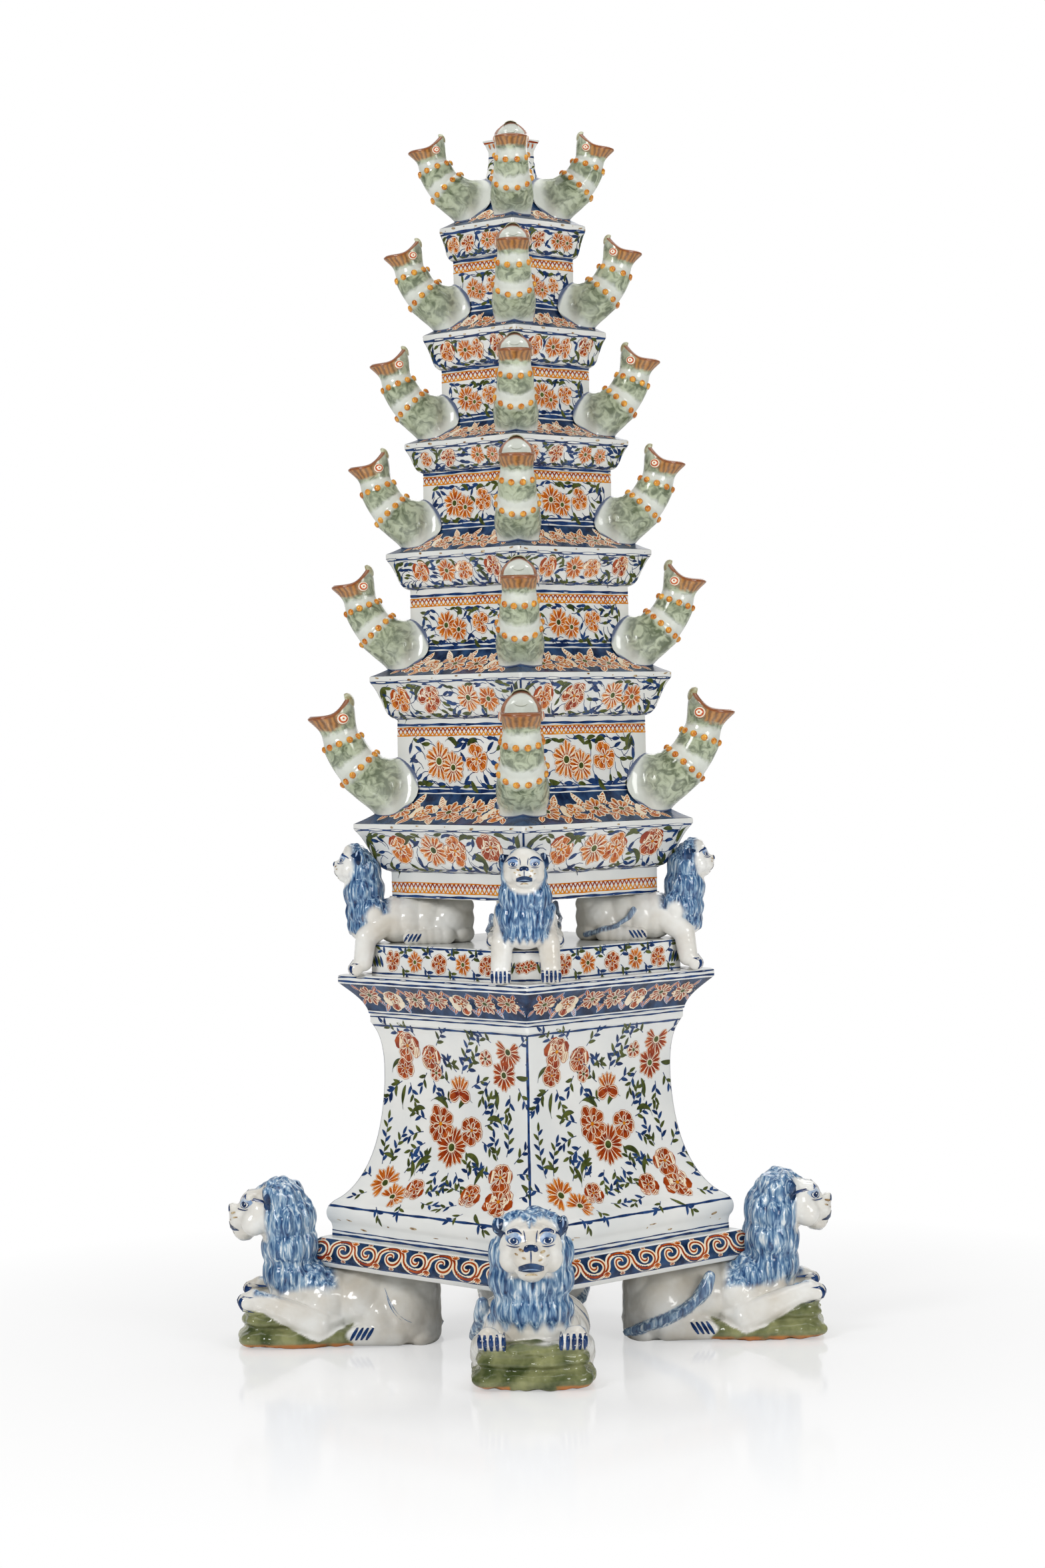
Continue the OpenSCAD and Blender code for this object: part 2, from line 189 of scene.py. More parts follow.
class Square:
    """A square-plan surface: a line of (reach, z) points in mm, run round a square.

    The line is softened at its angles; the square's corners are round, or cut off flat.
    """

    SOFT = 1.0

    def __init__(self, line, corner, cut=False):
        pts = [np.array(p, float) for p in line]
        out = [pts[0]]
        for a, b, c in zip(pts, pts[1:], pts[2:]):
            u, v = a - b, c - b
            lu, lv = np.linalg.norm(u), np.linalg.norm(v)
            if lu < 1e-6 or lv < 1e-6:
                continue
            ease = min(self.SOFT, 0.45 * lu, 0.45 * lv)
            p, q = b + u / lu * ease, b + v / lv * ease
            for t in (0, 0.33, 0.67, 1):
                out.append((1 - t) ** 2 * p + 2 * t * (1 - t) * b + t * t * q)
        out.append(pts[-1])
        line = np.array(out)
        step = np.linalg.norm(np.diff(line, axis=0), axis=1)
        keep = np.concatenate([[True], step > 1e-5])
        line = line[keep]
        self.s = np.concatenate([[0], np.cumsum(np.linalg.norm(np.diff(line, axis=0), axis=1))])
        self.w, self.z, self.corner, self.cut = line[:, 0] / math.sqrt(2), line[:, 1], corner, cut
        dw, dz = np.gradient(self.w, self.s), np.gradient(self.z, self.s)
        size = np.hypot(dw, dz)
        self.nw, self.nz = dz / size, -dw / size

    def at(self, reach, z):
        """The place along the line nearest to a point of it."""
        s = np.linspace(0, self.s[-1], 4000)
        across = np.interp(s, self.s, self.w) * math.sqrt(2) - reach
        d = across ** 2 + (np.interp(s, self.s, self.z) - z) ** 2
        return float(s[np.argmin(d)])

    def half(self, s):
        return float(np.interp(s, self.s, self.w))

    def point(self, side, x, s, off=0.0):
        """Points in metres on one side: x mm from its middle, s mm along the line, off mm above the skin."""
        x, s = np.broadcast_arrays(np.asarray(x, float), np.asarray(s, float))
        w, z = np.interp(s, self.s, self.w), np.interp(s, self.s, self.z)
        nw, nz = np.interp(s, self.s, self.nw), np.interp(s, self.s, self.nz)
        rho = np.minimum(self.corner, w)
        flat, ax = w - rho, np.abs(x)
        turn = np.clip((ax - flat) / np.maximum(rho, 1e-6), 0, 1) * math.pi / 4
        r = rho + off * nw
        px = np.where(ax > flat, np.sign(x) * (flat + r * np.sin(turn)), x)
        py = np.where(ax > flat, flat + r * np.cos(turn), w + off * nw)
        if self.cut:
            t = np.clip((ax - flat) / np.maximum(rho, 1e-6), 0, 1) * rho / 2
            px = np.where(ax > flat, np.sign(x) * (flat + t + 0.7 * off * nw), x)
            py = np.where(ax > flat, w - t + 0.7 * off * nw, w + off * nw)
        z = z + off * nz
        a = math.pi / 4 + side * math.pi / 2
        X, Y = py * math.cos(a) - px * math.sin(a), py * math.sin(a) + px * math.cos(a)
        d = 1 + (0.30 * np.sin(0.061 * z + 1.3) + 0.35 * np.sin(0.034 * X - 0.027 * Y + 0.02 * z + 2.1)) / 140
        return np.stack([X * d, Y * d, z], -1) / 1000


def piece(name, verts, faces, mats, body, slot, index=None, nodes=()):
    """A mesh on a body, in the place of the CAD nodes it is drawn instead of. The slot is not used."""
    mesh = bpy.data.meshes.new(name)
    mesh.from_pydata([tuple(v) for v in verts], [], faces)
    for m in mats:
        mesh.materials.append(m)
    if index is not None:
        mesh.polygons.foreach_set("material_index", index)
    mesh.polygons.foreach_set("use_smooth", [True] * len(mesh.polygons))
    mesh.update()
    obj = bpy.data.objects.new(name, mesh)
    bpy.context.collection.objects.link(obj)
    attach(obj, body)
    if nodes:
        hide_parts(*nodes)
    return obj


def loft(name, sq, bands, body, slot, node, pitch=2.5, base="white"):
    """The square body itself. bands is a list of (s0, s1, paint) that aren't the base colour."""
    rows = [0.0]
    for a, b in zip(sq.s, sq.s[1:]):
        n = max(1, math.ceil((b - a) / pitch))
        rows += [a + (b - a) * k / n for k in range(1, n + 1)]
    rows = sorted(set(np.round(rows + [e for b in bands for e in b[:2]], 4)))
    rows = np.array([r for r, nxt in zip(rows, rows[1:] + [1e9]) if nxt - r > 0.02 or r == rows[-1]])
    verts, width = [], 0
    columns = np.concatenate([-1 - np.linspace(1, 0, 4)[:-1], np.linspace(-1, 1, 15),
                              1 + np.linspace(0, 1, 4)[1:-1]])
    for side in range(4):
        for c in columns:
            w = np.interp(rows, sq.s, sq.w)
            rho = np.minimum(sq.corner, w)
            x = np.where(abs(c) <= 1, c * (w - rho), np.sign(c) * (w - rho + (abs(c) - 1) * rho))
            verts.append(sq.point(side, x, rows))
            width += 1
    grid = np.array(verts)
    n = len(rows)
    names = [base] + sorted({b[2] for b in bands})
    faces, index = [], []
    for c in range(width):
        d = (c + 1) % width
        for r in range(n - 1):
            faces.append((c * n + r, d * n + r, d * n + r + 1, c * n + r + 1))
            mid = (rows[r] + rows[r + 1]) / 2
            index.append(next((names.index(b[2]) for b in bands if b[0] < mid < b[1]), 0))
    obj = piece(name, grid.reshape(-1, 3), faces, [paint(p) for p in names], body, slot, index, nodes=(node,))
    bm = bmesh.new()
    bm.from_mesh(obj.data)
    bmesh.ops.remove_doubles(bm, verts=bm.verts, dist=2e-5)
    bmesh.ops.recalc_face_normals(bm, faces=bm.faces)
    bm.to_mesh(obj.data)
    bm.free()


class Paint:
    """Painted shapes on one body, gathered by colour and turned into one mesh a colour."""

    def __init__(self, prefix, body, slot):
        self.prefix, self.body, self.slot, self.work = prefix, body, slot, {}

    def strip(self, colour, left, right):
        verts, faces = self.work.setdefault(colour, ([], []))
        base, n = len(verts), len(left)
        verts.extend(left)
        verts.extend(right)
        faces.extend((base + k, base + k + 1, base + n + k + 1, base + n + k) for k in range(n - 1))

    def fan(self, colour, ring, middle):
        verts, faces = self.work.setdefault(colour, ([], []))
        base, n = len(verts), len(ring)
        verts.append(middle)
        verts.extend(ring)
        faces.extend((base, base + 1 + k, base + 1 + (k + 1) % n) for k in range(n))

    def finish(self):
        """One mesh a colour, every face turned outwards."""
        for colour, (verts, faces) in self.work.items():
            obj = piece(f"{self.prefix}_{colour}", verts, faces, [paint(colour)], self.body, self.slot)
            bm = bmesh.new()
            bm.from_mesh(obj.data)
            for f in bm.faces:
                c = f.calc_center_median()
                if f.normal.dot(Vector((c.x, c.y, 0.0))) < 0 and abs(f.normal.z) < 0.9 or f.normal.z < -0.9:
                    f.normal_flip()
            bm.to_mesh(obj.data)
            bm.free()


class Face:
    """One side of a square surface as a sheet to paint on, with its own x and y in mm."""

    def __init__(self, work, sq, side, s0, x0=0.0):
        self.work, self.sq, self.side, self.s0, self.x0 = work, sq, side, s0, x0

    def put(self, pts, off):
        pts = np.asarray(pts, float)
        return list(self.sq.point(self.side, self.x0 + pts[:, 0], self.s0 + pts[:, 1], off))

    def stroke(self, colour, path, w0, w1=None, off=0.12):
        """A brush line along a path, its half-width running from w0 to w1."""
        path = np.asarray(path, float)
        n = len(path)
        t = np.linspace(0, 1, n)
        w = np.interp(t, (0, 1), (w0, w0 if w1 is None else w1))
        d = np.gradient(path, axis=0)
        d /= np.maximum(np.linalg.norm(d, axis=1), 1e-9)[:, None]
        side = np.stack([-d[:, 1], d[:, 0]], 1) * w[:, None]
        self.work.strip(colour, self.put(path + side, off), self.put(path - side, off))

    def leaf(self, colour, x, y, ang, length, width, off=0.14, bend=0.0):
        t = np.linspace(0, 1, 7)
        a = ang + bend * (t - 0.3)
        step = length / 6
        path = np.stack([x + np.concatenate([[0], np.cumsum(np.cos(a[:-1]) * step)]),
                         y + np.concatenate([[0], np.cumsum(np.sin(a[:-1]) * step)])], 1)
        w = width / 2 * np.sin(math.pi * t ** 0.85) ** 0.75 + 0.05
        d = np.stack([-np.sin(a), np.cos(a)], 1) * w[:, None]
        self.work.strip(colour, self.put(path + d, off), self.put(path - d, off))

    def blob(self, colour, x, y, rx, ry, ang=0.0, off=0.14, notch=0.0, n=14):
        t = np.linspace(0, 2 * math.pi, n, endpoint=False)
        r = 1 - notch * np.exp(-(((t - math.pi / 2 + math.pi) % (2 * math.pi) - math.pi) / 0.35) ** 2)
        px, py = rx * r * np.cos(t), ry * r * np.sin(t)
        c, s = math.cos(ang), math.sin(ang)
        ring = np.stack([x + c * px - s * py, y + s * px + c * py], 1)
        self.work.fan(colour, self.put(ring, off), self.put([[x, y]], off)[0])

    def sprig(self, x, y, ang, length, n, bend=0.0, first=0, big=1.0):
        """A hair-thin stem with leaves by turns left and right, blue and green, and one at the tip."""
        t, length = np.linspace(0, 1, 8), 1.22 * length
        a = ang + bend * t
        path = np.stack([x + np.cumsum(np.cos(a)) * length / 8, y + np.cumsum(np.sin(a)) * length / 8], 1)
        self.stroke("blue", path, 0.44, 0.28, 0.10)
        for k in range(n):
            f = (k + 0.7) / (n + 0.4)
            px, py = np.interp(f, t, path[:, 0]), np.interp(f, t, path[:, 1])
            size = big * (9.4 - 1.6 * f) * (1 + 0.14 * math.sin(3.1 * k + x))
            colour, hand = "blue" if (k // 2 + first) % 2 else "green", 1 if k % 2 else -1
            self.leaf(colour, px, py, ang + bend * f + 0.74 * hand, size, size * 0.36, bend=0.35 * hand)
        self.leaf("green" if first % 2 else "blue", *path[-1], ang + bend, big * 8.6, big * 3.0)

    def foliage(self, flowers, half, height, pitch, big, seed):
        """Single leaves on short stems between the flowers, each pointing away from the nearest one."""
        rng = np.random.default_rng(seed)

        def room(x, y):
            return min(math.hypot(x - fx, y - fy) - fr for fx, fy, fr in flowers)

        nx, ny = int(2 * half / pitch), max(2, int(height / pitch))
        for j in range(ny):
            for i in range(nx):
                x = -half + 2 * half * (i + 0.5 + 0.5 * (j % 2) + rng.uniform(-0.28, 0.28)) / nx
                y = height * (j + 0.5 + rng.uniform(-0.3, 0.3)) / ny
                fx, fy, fr = min(flowers, key=lambda f: math.hypot(x - f[0], y - f[1]) - f[2])
                away, length = math.atan2(y - fy, x - fx), big * rng.uniform(7.6, 10.4)
                turn = rng.uniform(-0.5, 0.5)
                for a in (away + turn, away + 1.0, away - 1.0, away + 1.7, away - 1.7):
                    tx, ty = x + length * math.cos(a), y + length * math.sin(a)
                    if room(x, y) > 0.2 and room(tx, ty) > 0.4 and abs(tx) < half and 0.8 < ty < height - 0.8:
                        stem = ((-7 * big, a - 0.5), (-3 * big, a - 0.25), (0, a), (0.4 * length, a))
                        stem = [(x + r * math.cos(q), y + r * math.sin(q)) for r, q in stem]
                        self.stroke("blue", stem, 0.3, 0.46, 0.1)
                        colour = "blue" if rng.random() < 0.68 else "green"
                        self.leaf(colour, x, y, a, length, length * 0.34, bend=rng.uniform(-0.6, 0.6))
                        break

    def curl(self, x, y, ang, length, turn, width):
        """A long arching leaf with a hair-thin tail."""
        t = np.linspace(0, 1, 14)
        a = ang + turn * t ** 1.4
        path = np.stack([x + np.cumsum(np.cos(a)) * length / 14, y + np.cumsum(np.sin(a)) * length / 14], 1)
        w = width / 2 * np.clip(np.sin(math.pi * np.minimum(t * 1.25, 1) ** 0.9), 0, 1) ** 0.8 + 0.14
        d = np.stack([-np.sin(a), np.cos(a)], 1) * w[:, None]
        self.work.strip("green", self.put(path + d, 0.15), self.put(path - d, 0.15))
        self.stroke("blue", path - d * 0.96, 0.14, 0.12, 0.16)

    def petal(self, x, y, ang, length, width, line, fill, off, full=1.25):
        """One petal: a drawn edge, a white border, a coloured heart darker at its base, and white veins."""
        edge, rim = min(0.22 + 0.02 * width, 0.42), min(0.08 + 0.12 * width, 0.8)
        t, c, s = np.linspace(0, 1, 8), math.cos(ang), math.sin(ang)

        def shape(u):
            return np.sin(math.pi * np.clip(u, 0, 1) ** full) ** 0.62

        def laid(colour, u, w, lift):
            path, d = np.stack([x + c * u, y + s * u], 1), np.stack([-s * w, c * w], 1)
            self.work.strip(colour, self.put(path + d, off + lift), self.put(path - d, off + lift))

        for k, (colour, inset) in enumerate(((line, 0.0), ("reserve", edge), (fill, edge + rim))):
            w = max(width / 2 - inset, 0.14) * shape(t) + 0.04
            w[-1] = 0.04
            laid(colour, inset * 0.5 + (length - 1.4 * inset) * t, w, 0.02 * k)
        deep = {"orange": "red", "red": "brick"}.get(fill)
        if deep:
            w = max(width / 2 - edge - rim - 0.1, 0.12) * shape(0.06 + 0.5 * t) * np.sqrt(1.02 - t)
            laid(deep, length * (0.06 + 0.5 * t), w, 0.055)
        if width > 5:
            for v in (-0.26, 0.26):
                u = np.array((0.24, 0.5, 0.8))
                across = v * width * shape(u)
                vein = np.stack([x + c * length * u - s * across, y + s * length * u + c * across], 1)
                self.stroke("reserve", vein, 0.24, 0.14, off + 0.07)

    def daisy(self, x, y, r, n, start=0.0, span=2 * math.pi, line="red", fill="red", off=0.2):
        """Narrow petals round a green heart; a span under a full turn leaves some of them out."""
        for k in range(n):
            a = start + span * (k + 0.5 + 0.16 * math.sin(4.1 * k + y)) / n
            size = r * (1 + 0.10 * math.sin(2.3 * k + x))
            width = max(1.7, span * r * 0.86 / n)
            self.petal(x + 0.12 * r * math.cos(a), y + 0.12 * r * math.sin(a), a, size * 0.88, width,
                       line, fill, off + 0.012 * (k % 2), 1.8)
        self.blob("reserve", x, y, r * 0.26, r * 0.25, off=off + 0.11)
        self.blob("green", x, y, r * 0.20, r * 0.19, off=off + 0.13)

    def peony(self, x, y, r, rot=0.0, petals=7, line="red", fill="red", off=0.2):
        """Round veined petals in two rows, heaped from the back to the front, round a small heart."""
        turns = [2 * math.pi * (k + 0.18 * math.sin(3.3 * k + x)) / petals for k in range(petals)]
        for k, a in enumerate(sorted(turns, key=lambda a: -math.sin(a + rot))):
            length = r * (0.94 + 0.12 * math.sin(5 * a + x))
            self.petal(x + 0.08 * r * math.cos(rot + a), y + 0.08 * r * math.sin(rot + a), rot + a, length,
                       5.4 * r / petals, line, fill, off + 0.018 * k, 1.9)
        for k in range(5):
            a = rot + 0.5 + 2 * math.pi / 5 * k
            self.petal(x, y, a, r * (0.54 + 0.06 * math.sin(7 * k + y)), r * 0.40, line, fill,
                       off + 0.17 + 0.012 * k, 1.7)
        self.blob("amber", x, y, r * 0.12, r * 0.11, off=off + 0.32, n=8)

    def iris(self, x, y, r):
        """A striped fan above two round falls."""
        for k in range(5):
            self.petal(x, y, math.pi / 2 + (k - 2) * 0.36, r * 1.15, r * 0.44, "red", "orange",
                       0.2 + 0.01 * k)
        for sgn in (-1, 1):
            self.petal(x - sgn * 0.1 * r, y + 0.1 * r, math.pi / 2 - sgn * 1.95, r * 1.12, r * 0.86,
                       "red", "red", 0.3 + 0.02 * sgn, 1.3)


def ringline(work, sq, s, half, colour="blue", off=0.12):
    """A slightly wavering brush line right round the square at s."""
    wob = 0.18
    for side in range(4):
        w, rho = sq.half(s), min(sq.corner, sq.half(s))
        x = np.concatenate([-w + rho * np.linspace(0, 1, 5)[:-1], np.linspace(rho - w, w - rho, 40),
                            w - rho * np.linspace(1, 0, 5)[1:]])
        y = wob * np.sin(0.11 * x + side * 1.7 + s) + 0.1 * wob * np.sin(0.47 * x)
        t = half * (1 + 0.25 * np.sin(0.23 * x + side + 0.7 * s))
        work.strip(colour, list(sq.point(side, x, s + y + t, off)), list(sq.point(side, x, s + y - t, off)))


def bezier(a, b, c, d, n=10):
    a, b, c, d = (np.array(p, float) for p in (a, b, c, d))
    return [tuple((1 - t) ** 3 * a + 3 * (1 - t) ** 2 * t * b + 3 * (1 - t) * t * t * c + t ** 3 * d)
            for t in np.linspace(0, 1, n + 1)]


PLATE_Z, PLATE_TOP, PLATE, PLATE_HOLE = 66, 91, 196, 104
SCROLL_STEP, SCROLL_RISE = 31, 9.2
plate = Square([(PLATE_HOLE, PLATE_Z), (PLATE - 5, PLATE_Z), (PLATE - 1, PLATE_Z + 4)]
               + bezier((PLATE, PLATE_Z + 6), (PLATE + 1, PLATE_Z + 12.5), (PLATE - 2, PLATE_Z + 20),
                        (PLATE - 9, PLATE_TOP - 1), 8)
               + [(PLATE - 13, PLATE_TOP), (PLATE_HOLE, PLATE_TOP), (PLATE_HOLE, PLATE_Z)], corner=6)
s_low, s_high = plate.at(PLATE - 0.5, PLATE_Z + 5.5), plate.at(PLATE - 10, PLATE_TOP - 1)
loft("base_plate_body", plate, [(s_low, s_high, "ground")], "stand", "painted_glaze", "base_plate")
work = Paint("base_plate", "stand", "painted_glaze")
ringline(work, plate, s_low - 0.4, 0.5)
for side in range(4):
    f = Face(work, plate, side, s_low)
    mid, step = (s_high - s_low) / 2, SCROLL_STEP
    t = np.linspace(0, 1, 40)
    for k in range(-4, 5):
        cx, flip, a = k * step, 1 if k % 2 else -1, math.pi * (1 - 2.9 * t)
        rx, ry = (np.interp(t, (0, 0.18, 0.36, 0.6, 1), q) for q in
                  ((step / 2, 13.8, 10.6, 6.8, 1.5), (SCROLL_RISE, SCROLL_RISE, 7.6, 5.2, 1.2)))
        wave = np.stack([cx + rx * np.cos(a), mid + flip * ry * np.sin(a)], 1)
        lead = [(cx - step + step / 2 * math.sin(q), mid - flip * SCROLL_RISE * math.cos(q))
                for q in np.linspace(0, math.pi / 2, 9)[:-1]]
        wave = np.concatenate([lead, wave]) if k > -4 else wave
        f.stroke("reserve", wave, 3.2, 2.0, 0.14)
        f.stroke("red", wave, 1.1, 0.7, 0.17)
        for j in range(5):
            f.petal(cx + step * 0.42, mid + flip * 6.4, flip * (math.pi / 2 + (j - 2) * 0.5), 5.6, 2.7,
                    "reserve", "orange", 0.2 + 0.005 * j)
            f.petal(cx + 1, mid - flip * 10.6, flip * (math.pi / 2 + (j - 2) * 0.6), 3.4, 1.7,
                    "reserve", "red", 0.12 + 0.005 * j)
work.finish()

# Pedestal: one hollow square body with a waist, white-glazed, with the same bouquet on each
# side, a blue line down each corner and round each moulding. Lofted and painted as the plate.
CAP_Z, FOOT, WAIST, FILLET, PEDESTAL_WALL = 285, 180, 126, 138, 11.3
p0 = PLATE_TOP
outer = ([(FOOT - 5, p0), (FOOT - 5.5, p0 + 8), (FOOT - 4.5, p0 + 12)]
         + bezier((FOOT - 2, p0 + 15), (FOOT, p0 + 18), (FOOT + 0.5, p0 + 24), (FOOT - 3, p0 + 27.5), 5)
         + bezier((FOOT - 8, p0 + 31.5), (WAIST + 26, p0 + 39), (WAIST + 2, p0 + 74), (WAIST, p0 + 135), 24)
         + bezier((WAIST, p0 + 141), (WAIST, p0 + 161), (WAIST + 3, CAP_Z - 17), (FILLET - 1, CAP_Z - 8), 10)
         + [(FILLET, CAP_Z - 7), (FILLET, CAP_Z)])
inner = [(r - PEDESTAL_WALL, z) for r, z in reversed(outer)]
pedestal = Square(outer + inner + [outer[0]], corner=3.0)
loft("pedestal_body", pedestal, [], "stand", "painted_glaze", "pedestal", pitch=4)
work = Paint("pedestal", "stand", "painted_glaze")
for r, z, half in ((FOOT - 5, p0 + 2.2, 0.95), (FOOT - 5.4, p0 + 5.4, 0.5), (FOOT - 3.2, p0 + 27, 1.15),
                   (FILLET - 2, CAP_Z - 9.5, 1.1), (FILLET, CAP_Z - 2, 0.6)):
    ringline(work, pedestal, pedestal.at(r, z), half)
s_foot, s_neck = pedestal.at(FOOT - 3, p0 + 27.5), pedestal.at(FILLET - 2, CAP_Z - 10)
for side in range(4):
    s = np.linspace(s_foot, s_neck, 60)
    w = np.interp(s, pedestal.s, pedestal.w)
    drift = 0.25 * np.sin(0.09 * s + side)
    for sgn in (-1, 1):
        x0, x1 = (w - 1.35 + drift) * sgn, w * sgn
        work.strip("blue", list(pedestal.point(side, x0, s, 0.12)), list(pedestal.point(side, x1, s, 0.12)))


def on_pedestal(side, x, z):
    """A sheet at x mm from the side's middle and at a height."""
    reach = np.interp(z, [q[1] for q in outer], [q[0] for q in outer])
    return Face(work, pedestal, side, pedestal.at(reach, z), x)


# Long leaves: place across and height, direction, length, turn and width.
PEDESTAL_CURLS = (
    (-64, 247, 3.4, 20, 1.2, 3.6), (-33, 243, 5.6, 22, 1.1, 3.6), (-6, 206, 2.2, 27, 1.6, 4.6),
    (6, 207, 1.2, 22, -1.9, 4.6), (40, 200, 0.5, 26, -1.9, 4.8), (-34, 205, 2.9, 24, 1.6, 4.4),
    (17, 170, 0.1, 30, -1.8, 5.0), (-20, 166, 3.3, 30, 1.6, 5.0), (-60, 226, 4.3, 24, 0.7, 3.8),
    (49, 229, 5.2, 22, -0.9, 4.2), (74, 240, 6.0, 22, 0.9, 4.2), (-66, 160, 2.6, 20, 0.9, 3.8),
    (52, 126, 5.2, 24, 0.9, 3.8), (-46, 162, 5.3, 22, -1.0, 4.4), (90, 152, 5.9, 30, -1.1, 4.2),
    (46, 163, 4.0, 26, 0.9, 4.4))
# Sprigs: place across and height, direction and length.
SPRIGS = (
    (-50, 258, 2.5, 30), (-43, 267, 2.2, 13), (-21, 259, 1.0, 17), (-18, 251, 6.1, 15),
    (-62, 229, 3.6, 22), (-56, 229, 5.1, 16), (-67, 231, 4.2, 22), (-27, 232, 5.2, 14),
    (-33, 238, 4.1, 12), (9, 233, 1.4, 34), (5, 238, 2.4, 14), (14, 238, 0.7, 20), (-4, 228, 2.6, 14),
    (20, 226, 0.6, 14), (51, 266, 2.4, 12), (81, 264, 0.7, 14), (34, 249, 3.3, 14), (46, 236, 3.9, 18),
    (55, 227, 4.2, 14), (67, 226, 4.9, 16), (77, 232, 5.2, 14), (36, 262, 2.0, 12), (86, 250, 0.2, 10),
    (-31, 196, 2.9, 16), (-33, 186, 3.2, 18), (-30, 178, 3.7, 17), (-20, 166, 3.4, 15),
    (34, 203, 0.8, 15), (37, 195, 0.3, 15), (35, 183, 6.0, 16), (20, 164, 5.9, 20), (-9, 157, 4.2, 16),
    (2, 156, 4.8, 15), (9, 157, 5.4, 18), (-2, 211, 2.4, 12), (-80, 150, 1.7, 38), (-72, 152, 1.4, 28),
    (-88, 143, 2.6, 16), (-86, 132, 3.6, 14), (-66, 122, 5.6, 12), (-52, 148, 1.0, 16),
    (-38, 149, 0.9, 18), (-40, 126, 5.3, 12), (-21, 136, 0.2, 18), (-20, 129, 5.9, 17),
    (-28, 149, 1.8, 14), (60, 167, 2.1, 18), (68, 168, 1.4, 28), (77, 165, 0.9, 18), (82, 158, 0.3, 16),
    (52, 152, 2.4, 16), (28, 130, 3.4, 18), (40, 125, 4.2, 14), (91, 140, 0.3, 20), (90, 130, 5.7, 16),
    (30, 149, 2.2, 16), (24, 140, 3.0, 14), (62, 120, 5.4, 10))
for side in range(4):
    def g(x, z):
        return on_pedestal(side, x, z)
    g(-15, 194).peony(0, 0, 16.5, 0.5, 8)
    g(24, 191).peony(0, 0, 13.5, -0.4, 6)
    g(1, 175).daisy(0, 0, 18.5, 20)
    g(7, 221).iris(0, 0, 14)
    g(-56, 259).peony(0, 0, 15, 0.3, 7)
    g(-61, 239).peony(0, 0, 10.5, 0.9, 5)
    g(-28, 250).peony(0, 0, 11.5, 1.2, 5)
    g(-22, 237).daisy(0, 0, 7.5, 6)
    g(68, 260).daisy(0, 0, 14.5, 16, 2.2, 4.9)
    g(61, 240).daisy(0, 0, 14, 16)
    g(40, 253).daisy(0, 0, 8, 7)
    g(-70, 140).daisy(0, 0, 17, 13, 0.2, 4.4, fill="orange")
    g(-54, 130).daisy(0, 0, 15, 13, -1.6, 4.8, fill="orange")
    g(-32, 138).peony(0, 0, 11.5, 0.8, 6)
    g(66, 155).peony(0, 0, 14, 0.1, 6)
    g(72, 136).peony(0, 0, 17.5, -0.2, 8)
    g(36, 138).peony(0, 0, 12.5, 0.9, 6)
    for x, z, a, length, turn, width in PEDESTAL_CURLS:
        g(x, z).curl(0, 0, a, length, turn, width)
    for k, (x, z, a, length) in enumerate(SPRIGS):
        g(x, z).sprig(0, 0, a, length, max(3, round(length / 4.1)), 0.5 * math.sin(1.9 * k), k, 1.0)
for side in range(4):
    for k in range(9):
        t = math.sin(11.7 * k + 5.1 * side)
        worn = pedestal.at(FOOT - 1, p0 + 8 + 9 * abs(math.sin(3.3 * k)))
        f = Face(work, pedestal, side, worn, t * 0.9 * FOOT / math.sqrt(2))
        f.blob("rust", 0, 0, 2.6 + 1.9 * math.sin(7 * k + side), 0.9 + 0.5 * math.sin(5 * k), 0.2 * t, 0.13,
               0.3, 10)
work.finish()

# Pedestal cap: a separate square cornice with an eight-cornered plinth on it, which carries the upper
# lions. Its face is blue with reserved flowers, its rim white; lofted and painted as the pedestal.
CORNICE, CAP_H, PLINTH, PLINTH_H, PLINTH_CUT, CAP_HOLE = 165, 35, 147, 27, 18.4, 126.7
PLINTH_Z = CAP_Z + CAP_H
LION_Z = PLINTH_Z + PLINTH_H
cap = Square([(CAP_HOLE, LION_Z - 9), (CAP_HOLE, CAP_Z), (FILLET + 1, CAP_Z)]
             + bezier((FILLET + 1, CAP_Z + 0.6), (FILLET + 4.1, CAP_Z + 11.8), (FILLET + 14, CAP_Z + 17.9),
                      (CORNICE, CAP_Z + 28), 12)[1:]
             + [(CORNICE, CAP_Z + 33.5), (CORNICE - 2, PLINTH_Z), (PLINTH - 6, PLINTH_Z)], corner=3.0)
s_low, s_high = cap.at(FILLET + 2, CAP_Z + 3), cap.at(CORNICE - 1.2, CAP_Z + 27.2)
loft("pedestal_cap_body", cap, [(s_low, s_high, "ground")], "stand", "painted_glaze", "pedestal_cap")
plinth = Square([(PLINTH, PLINTH_Z - 1), (PLINTH, LION_Z), (0.02, LION_Z)],
                corner=PLINTH_CUT, cut=True)
loft("pedestal_cap_plinth", plinth, [], "stand", "painted_glaze", "pedestal_cap")
work = Paint("pedestal_cap", "stand", "painted_glaze")


